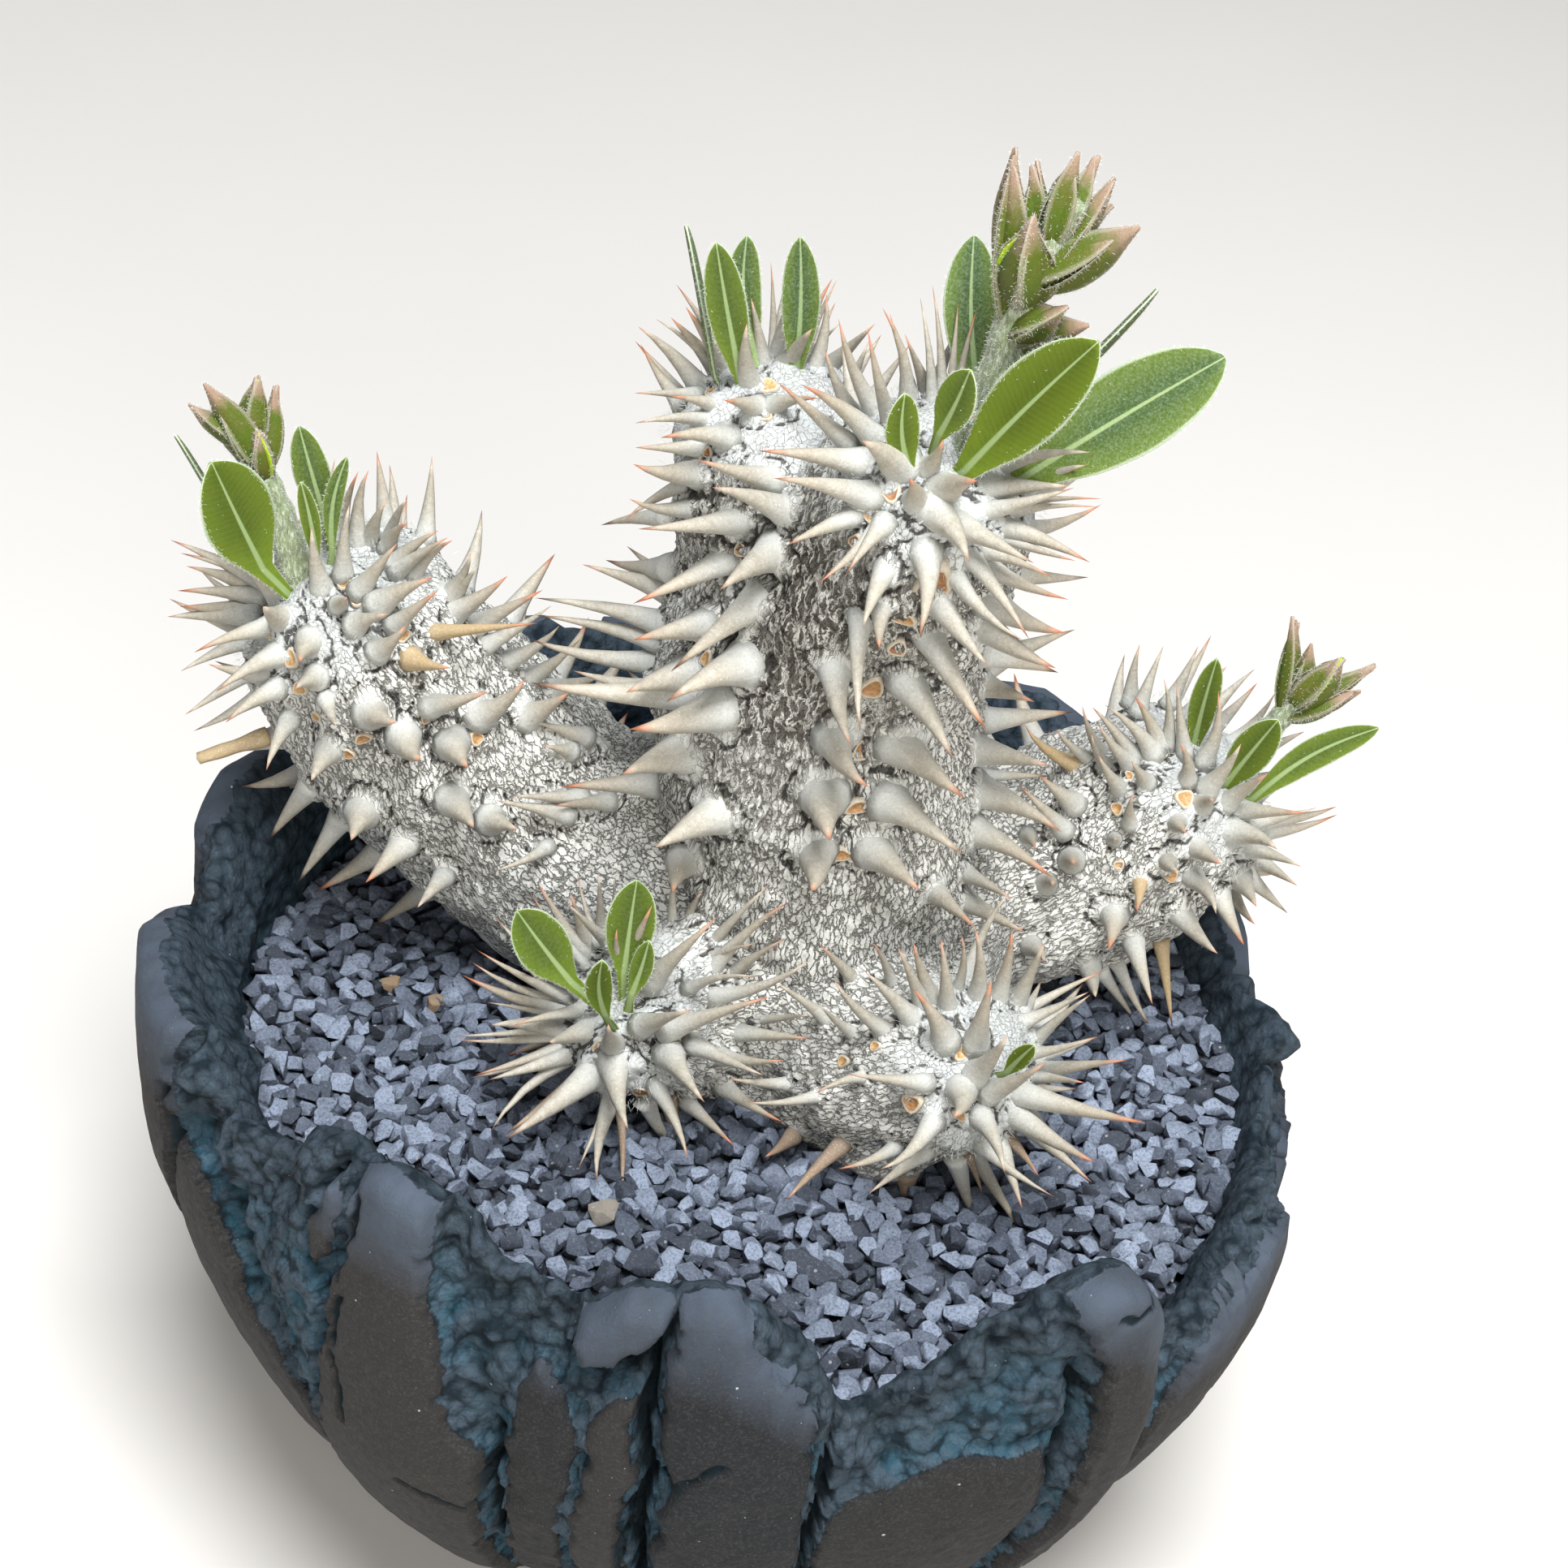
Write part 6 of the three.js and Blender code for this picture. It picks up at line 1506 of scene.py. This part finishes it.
def bearWool(limb, points, faces, fuzz, strand=1.0):  # how dense and how long it grows on a surface
    woolBeds[limb].append((points, faces, np.stack([fuzz, np.full(len(points), strand)], 1)))


def softLeaf():
    green = Finish("downyLeaf")
    edge, rise, tint = green.marks("edge", "rise", "tint")
    across, along, _ = green.parts(green.mark("leafPlace", "Vector"))
    span = green.math("ABSOLUTE", across)
    slant = green.minus(along, green.times(span, leaf["veinSlant"]))
    stripe = green.math("SINE", green.times(slant, fullTurn / (leaf["veins"] * mm)))
    stripe = green.plus(stripe, green.times(green.noise(0.5, 3, 0.6), 1.2))
    ribWidth = green.times(green.minus(1.25, rise), 0.3 * mm)
    rib = green.fade(green.math("DIVIDE", span, ribWidth), 0.55, 1, 1, 0)
    fuzz = green.fade(green.noise(0.24, 5, 0.8), 0.45, 0.7, 0, 0.5)
    tone = green.coats(
        leaf["fresh"], (tint, leaf["blue"]), (green.fade(rise, 0, 0.4, 0.75, 0), leaf["young"]),
        (green.fade(green.noise(0.9, 4, 0.6), 0.35, 0.65, 0.35, 0), leaf["deep"]),
        (green.fade(edge, 0.2, 0.95, 0, 0.45), leaf["young"]), (green.fade(stripe, 0.8, 1, 0, 0.03), leaf["rib"]),
        (green.times(rib, 0.85), leaf["rib"]),
        (green.times(fuzz, green.plus(green.times(tint, 0.4), 0.04)), leaf["down"]),
        (green.ramp(edge, (0.91, 0), (0.985, 0.6), (1, 0.9)), leaf["down"]))
    normal = green.bump((green.noise(0.2), 0.05, 0.7), (stripe, 0.005, 0.4))
    return green.done(tone, green.fade(fuzz, 0, 0.5, 0.5, 0.75), normal, Subsurface_Weight=0.12,
                      Subsurface_Scale=0.0012, **downSheen)


def budFinish():
    sepal = Finish("downyBud")
    edge, rise, tint = sepal.marks("edge", "rise", "tint")
    core, outer = (sepal.math(test, tint, 0.9) for test in ("GREATER_THAN", "LESS_THAN"))
    end = sepal.fade(sepal.plus(rise, sepal.times(sepal.noise(1.2, 3, 0.6), 0.25)), 0.8, 1, 0, 0.55)
    fuzz = sepal.fade(sepal.noise(0.18, 4, 0.8), 0.52, 0.74, 0, 0.2)
    tone = sepal.coats(
        bud["green"], (sepal.fade(sepal.noise(2.2, 4, 0.6), 0.35, 0.65), bud["olive"]), (core, bud["fresh"]),
        (sepal.times(end, outer), bud["pink"]), (fuzz, bud["down"]),
        (sepal.times(sepal.fade(edge, 0.8, 1, 0, 0.5), outer), bud["down"]))
    return sepal.done(tone, sepal.fade(fuzz, 0, 0.55, 0.55, 0.8), sepal.bump((sepal.noise(0.22), 0.06, 0.8)),
                      Subsurface_Weight=0.1, Subsurface_Scale=0.001, **downSheen)


def stalkFinish():
    stem = Finish("downyStalk")
    streak = stem.noise(0.35, 5, 0.75, stretch=(1, 1, 0.25))
    return stem.done(stem.ramp(streak, *stalkTones), stem.fade(streak, 0, 1, 0.6, 0.85), stem.bump((streak, 0.08, 0.8)),
                     Sheen_Weight=0.3, Sheen_Roughness=0.5)


def woolFinish():
    hair = Finish("whiteWool")
    cloud = hair.noise(1.5, 3, 0.6)
    return hair.done(hair.fade(cloud, 0.3, 0.7, wool["shade"], wool["colour"]), hair.fade(cloud, 0, 1, 0.6, 0.75),
                     hair.bump((hair.noise(0.1, 2, 0.5), 0.01, 0.5)))


def leafPieces(finish):
    for crown, (name, leaves) in crowns.items():
        tip = limbs[name].centre[-1]
        heart = tip - limbs[name].ahead[-1] * leaf["petioleDepth"]
        for number, (foot, length, width, lean, turn, twist, bend, tint) in enumerate(leaves, 1):
            axis, foot = leaning(lean, turn), tip + np.array(foot)
            upper, inwards = turned(leaning(lean - 90, turn), axis, twist), heart - foot
            root = foot + unit(unit(inwards) - axis) * 0.7 * np.linalg.norm(inwards)
            points, faces, marks = blade(foot, axis, upper, length, width, leaf["cup"], bend, leaf, number, root)
            edge, span, along, rise = marks.T
            piece = meshPiece(f"{crown}_leaf_blade_{number}", points, faces, {
                "edge": edge, "rise": rise, "tint": np.full(len(points), tint),
                "leafPlace": np.stack([span, along, span * 0], 1) * mm})
            facedOutwards(piece)
            bearWool(name, points, faces, smooth(0.88, 1.0, edge) * 3.5 + 0.012, 0.4)
            dress(piece, finish, f"{crown}_leaf_{number}", slot="leaf")


def roundTube(name, path, radii, rows, sides):
    along, centre, ahead = curvePoints(path, rows)
    side = unit(np.cross(ahead, (0, 1, 0)))
    other = np.cross(ahead, side)
    turns, layers = ringTurns(sides), []
    for number, share in enumerate(along / along[-1]):
        radius = np.interp(share, np.linspace(0, 1, len(radii)), radii)
        radius *= 1 + 0.05 * np.sin(turns * 5 + number * 0.1) + 0.06 * math.sin(number * 0.9)
        spokes = side[number] * np.cos(turns)[:, None] + other[number] * np.sin(turns)[:, None]
        layers.append(centre[number] + spokes * radius[:, None])
    points = np.concatenate(layers + [centre[:1] - ahead[0] * 0.3, centre[-1:] + ahead[-1] * 0.2])
    piece = meshPiece(name, points, closedFaces(rows, sides))
    facedOutwards(piece)
    return piece


def stalkPieces(finish):
    for crown, (path, radii, _) in stalks.items():
        piece = roundTube(f"{crown}_stalk", path, radii, 44, 24)
        points, faces = pointsAndFaces(piece.data)
        bearWool(crowns[crown][0], points, faces, np.full(len(points), 0.8), 0.6)
        dress(piece, finish, f"{crown}_flower_stalk", slot="stalk")


def budPieces(finish):
    # each bud is a slim core wrapped by boat-shaped sepals with woolly edges
    for crown, (path, _, buds) in stalks.items():
        along, centre, _ = curvePoints(path)
        for number, (share, length, width, lean, turn) in enumerate(buds, 1):
            base = between(share * along[-1], along, centre)
            axis, first = leaning(lean, turn), leaning(lean - 90, turn)
            dice, width = np.random.default_rng(number * 13 + len(crown)), width * bud["fullness"]
            parts, tints = [], []
            for step in range(bud["sepals"] + 1):
                outward = turned(first, axis, step * 360 / bud["sepals"] + dice.normal() * 6)
                if step < bud["sepals"]:
                    size, wide, cup = length * (0.82 + 0.18 * dice.random()), width * 0.95, -0.6
                    hug, bend, tint = (0.62, 0.8)[step % 2], -0.04 * dice.random(), 0.4 * dice.random()
                else:
                    size, wide, cup, hug, bend, tint = length * 0.86, width * 0.8, -0.1, 0, 0, 1
                parts.append(blade(base, axis, outward, size, wide, cup, bend, bud, number * 7 + step, hug=hug))
                tints += [tint] * len(parts[-1][0])
            points, faces, marks = merged(parts)
            edge, _, _, rise = marks.T
            marks = {"edge": edge, "rise": rise, "tint": tints}
            piece = meshPiece(f"{crown}_flower_bud_{number}", points, faces, marks)
            facedOutwards(piece)
            fuzz = smooth(0.75, 1.0, edge) * 1.6 + 0.12 + smooth(0.7, 1, rise) * 0.8
            bearWool(crowns[crown][0], points, faces, fuzz, 0.4)
            dress(piece, finish, f"{crown}_bud_{number}", slot="bud")


def strandShape():  # one hair: three-sided, of length and radius one, with its tip to one side
    points = [(radius * math.cos(corner * wool["corner"]), radius * math.sin(corner * wool["corner"]), height)
              for height, radius in ((0, 1.0), (0.5, 0.75)) for corner in range(3)] + [(1.5, 0, 1)]
    faces = []
    for corner, beside in ((0, 1), (1, 2), (2, 0)):
        faces += [(corner, beside, beside + 3, corner + 3), (corner + 3, beside + 3, 6)]
    return meshPiece("strandShape", points, faces + [(2, 1, 0)], shadeSmooth=False, scale=1)


def growWool(finish):
    shape = strandShape()
    for crown, (name, _) in crowns.items():
        limb = limbs[name]
        points, faces = tubeMesh(limb, 0.9)
        reach = limb.locate(points)[0] - limb.length
        bearWool(name, points + limb.distance(points)[1] * 0.2, faces, smooth(-9, -3, reach) * 0.3)
        points, faces, fuzz = merged(woolBeds[name])
        piece = meshPiece(f"{crown}_wool", points, faces, {"fuzz": fuzz[:, 0], "strand": fuzz[:, 1]})
        facedOutwards(piece)
        tree = Growth("woolGrowth", Finish=finish, Density=wool["density"] / mm**2, Length=wool["length"] * mm,
                      Thickness=wool["thickness"] / 2 * mm, Seed=wool["seed"])
        thickness = tree.source["Thickness"]
        density = tree.math("MULTIPLY", tree.source["Density"], tree.named("fuzz"))
        inputs = {"Mesh": tree.source["Geometry"], "Density": density, "Seed": tree.source["Seed"]}
        roots = wired(tree.tree, "GeometryNodeDistributePointsOnFaces", inputs, distribute_method="RANDOM").outputs
        lean = tree.random((-0.75, -0.75, 0), (0.75, 0.75, 6.28), 3)
        aim = tree.add("FunctionNodeRotateRotation", {"Rotation": roots["Rotation"], "Rotate By": lean},
                       rotation_space="LOCAL")
        long = tree.math("MULTIPLY", tree.source["Length"], tree.random(0.5, 1.3, 5))
        size = tree.sizes(thickness, thickness, tree.math("MULTIPLY", long, tree.named("strand")))
        tree.grow(piece, tree.copies(roots["Points"], tree.shape(shape), aim, size))
        dress(piece, finish, slot="leaf")
        print(f"  {crown}: {len(piece.data.polygons)} wool faces")
    bpy.data.objects.remove(shape)


# A tan spine broken off short on the left stem
snapped = {
    "foot": (-51.2, 6.2, 82.7), "end": (-57.8, 4.1, 80.4), "radii": [1.0, 0.72, 0.66], "sides": 14,
    "marks": {"rise": 0.1, "shade": 0.5, "kind": 1},
}


def snappedSpine(finish):
    foot, end = np.array(snapped["foot"]), np.array(snapped["end"])
    path = [foot, foot * 0.6 + end * 0.4, end]
    piece = roundTube("snapped_spine", path, snapped["radii"], snapped["sides"], snapped["sides"])
    for name, value in snapped["marks"].items():
        setMark(piece.data, name, [value] * len(piece.data.vertices))
    dress(piece, finish, slot="bark")


print("leaves, stalks and buds")
leafPieces(softLeaf())
stalkPieces(stalkFinish())
budPieces(budFinish())
growWool(woolFinish())
snappedSpine(spineMaterial)


# Floor, light and camera
view = {
    "lens": 72.2, "sensor": 36, "position": (0, -244.495, 277.144), "pitch": 37.548, "yaw": 0.244, "roll": 7.0,
    "floorSize": 3.0, "floorColour": (0.6, 0.575, 0.54), "roomColour": (0.86, 0.9, 0.95, 1), "roomLight": 0.36,
    # name: place, target, size, power, colour
    "lights": {
        "skyLight": ((0.06, -0.26, 0.87), (0, 0, 0.08), 0.4, 15, (0.95, 0.97, 1.0)),
        "frontFill": ((0.2, -0.72, 0.36), (0, 0, 0.07), 0.5, 4.4, (1.0, 0.96, 0.9)),
    },
}

print("stage")
bpy.ops.mesh.primitive_plane_add(size=view["floorSize"], location=(0, 0, 0))
floor = bpy.context.object
floor.name = "pale_floor"
paper = Finish("palePaper")
paperColour = paper.mix(paper.noise(60, 3, 0.55), view["floorColour"], tuple(0.96 * c for c in view["floorColour"]))
floor.data.materials.append(paper.done(paperColour, 0.9))

for name, (place, target, size, power, colour) in view["lights"].items():
    lamp = bpy.data.lights.new(name, "AREA")
    lamp.shape, lamp.size, lamp.energy, lamp.color = "DISK", size, power, colour
    light = linked(name, lamp)
    light.location = place
    light.rotation_euler = (Vector(target) - Vector(place)).to_track_quat("-Z", "Y").to_euler()
world = bpy.data.worlds.new("paleRoom")
bpy.context.scene.world = world
world.use_nodes = True
world.node_tree.nodes["Background"].inputs["Color"].default_value = view["roomColour"]
world.node_tree.nodes["Background"].inputs["Strength"].default_value = view["roomLight"]
bpy.context.scene.view_settings.view_transform = "Standard"

camera = linked("camera", bpy.data.cameras.new("camera"))
camera.data.lens, camera.data.sensor_width, camera.data.clip_start = view["lens"], view["sensor"], 0.01
pitch, yaw, roll = (math.radians(view[key]) for key in ("pitch", "yaw", "roll"))
ahead = Vector((math.sin(yaw) * math.cos(pitch), math.cos(yaw) * math.cos(pitch), -math.sin(pitch)))
level = ahead.cross(Vector((0, 0, 1))).normalized()
upright = level.cross(ahead)
right = level * math.cos(roll) + upright * math.sin(roll)
top = upright * math.cos(roll) - level * math.sin(roll)
turn = Matrix((right, top, -ahead)).transposed().to_4x4()
camera.matrix_world = Matrix.Translation(Vector(view["position"]) * mm) @ turn
bpy.context.scene.camera = camera
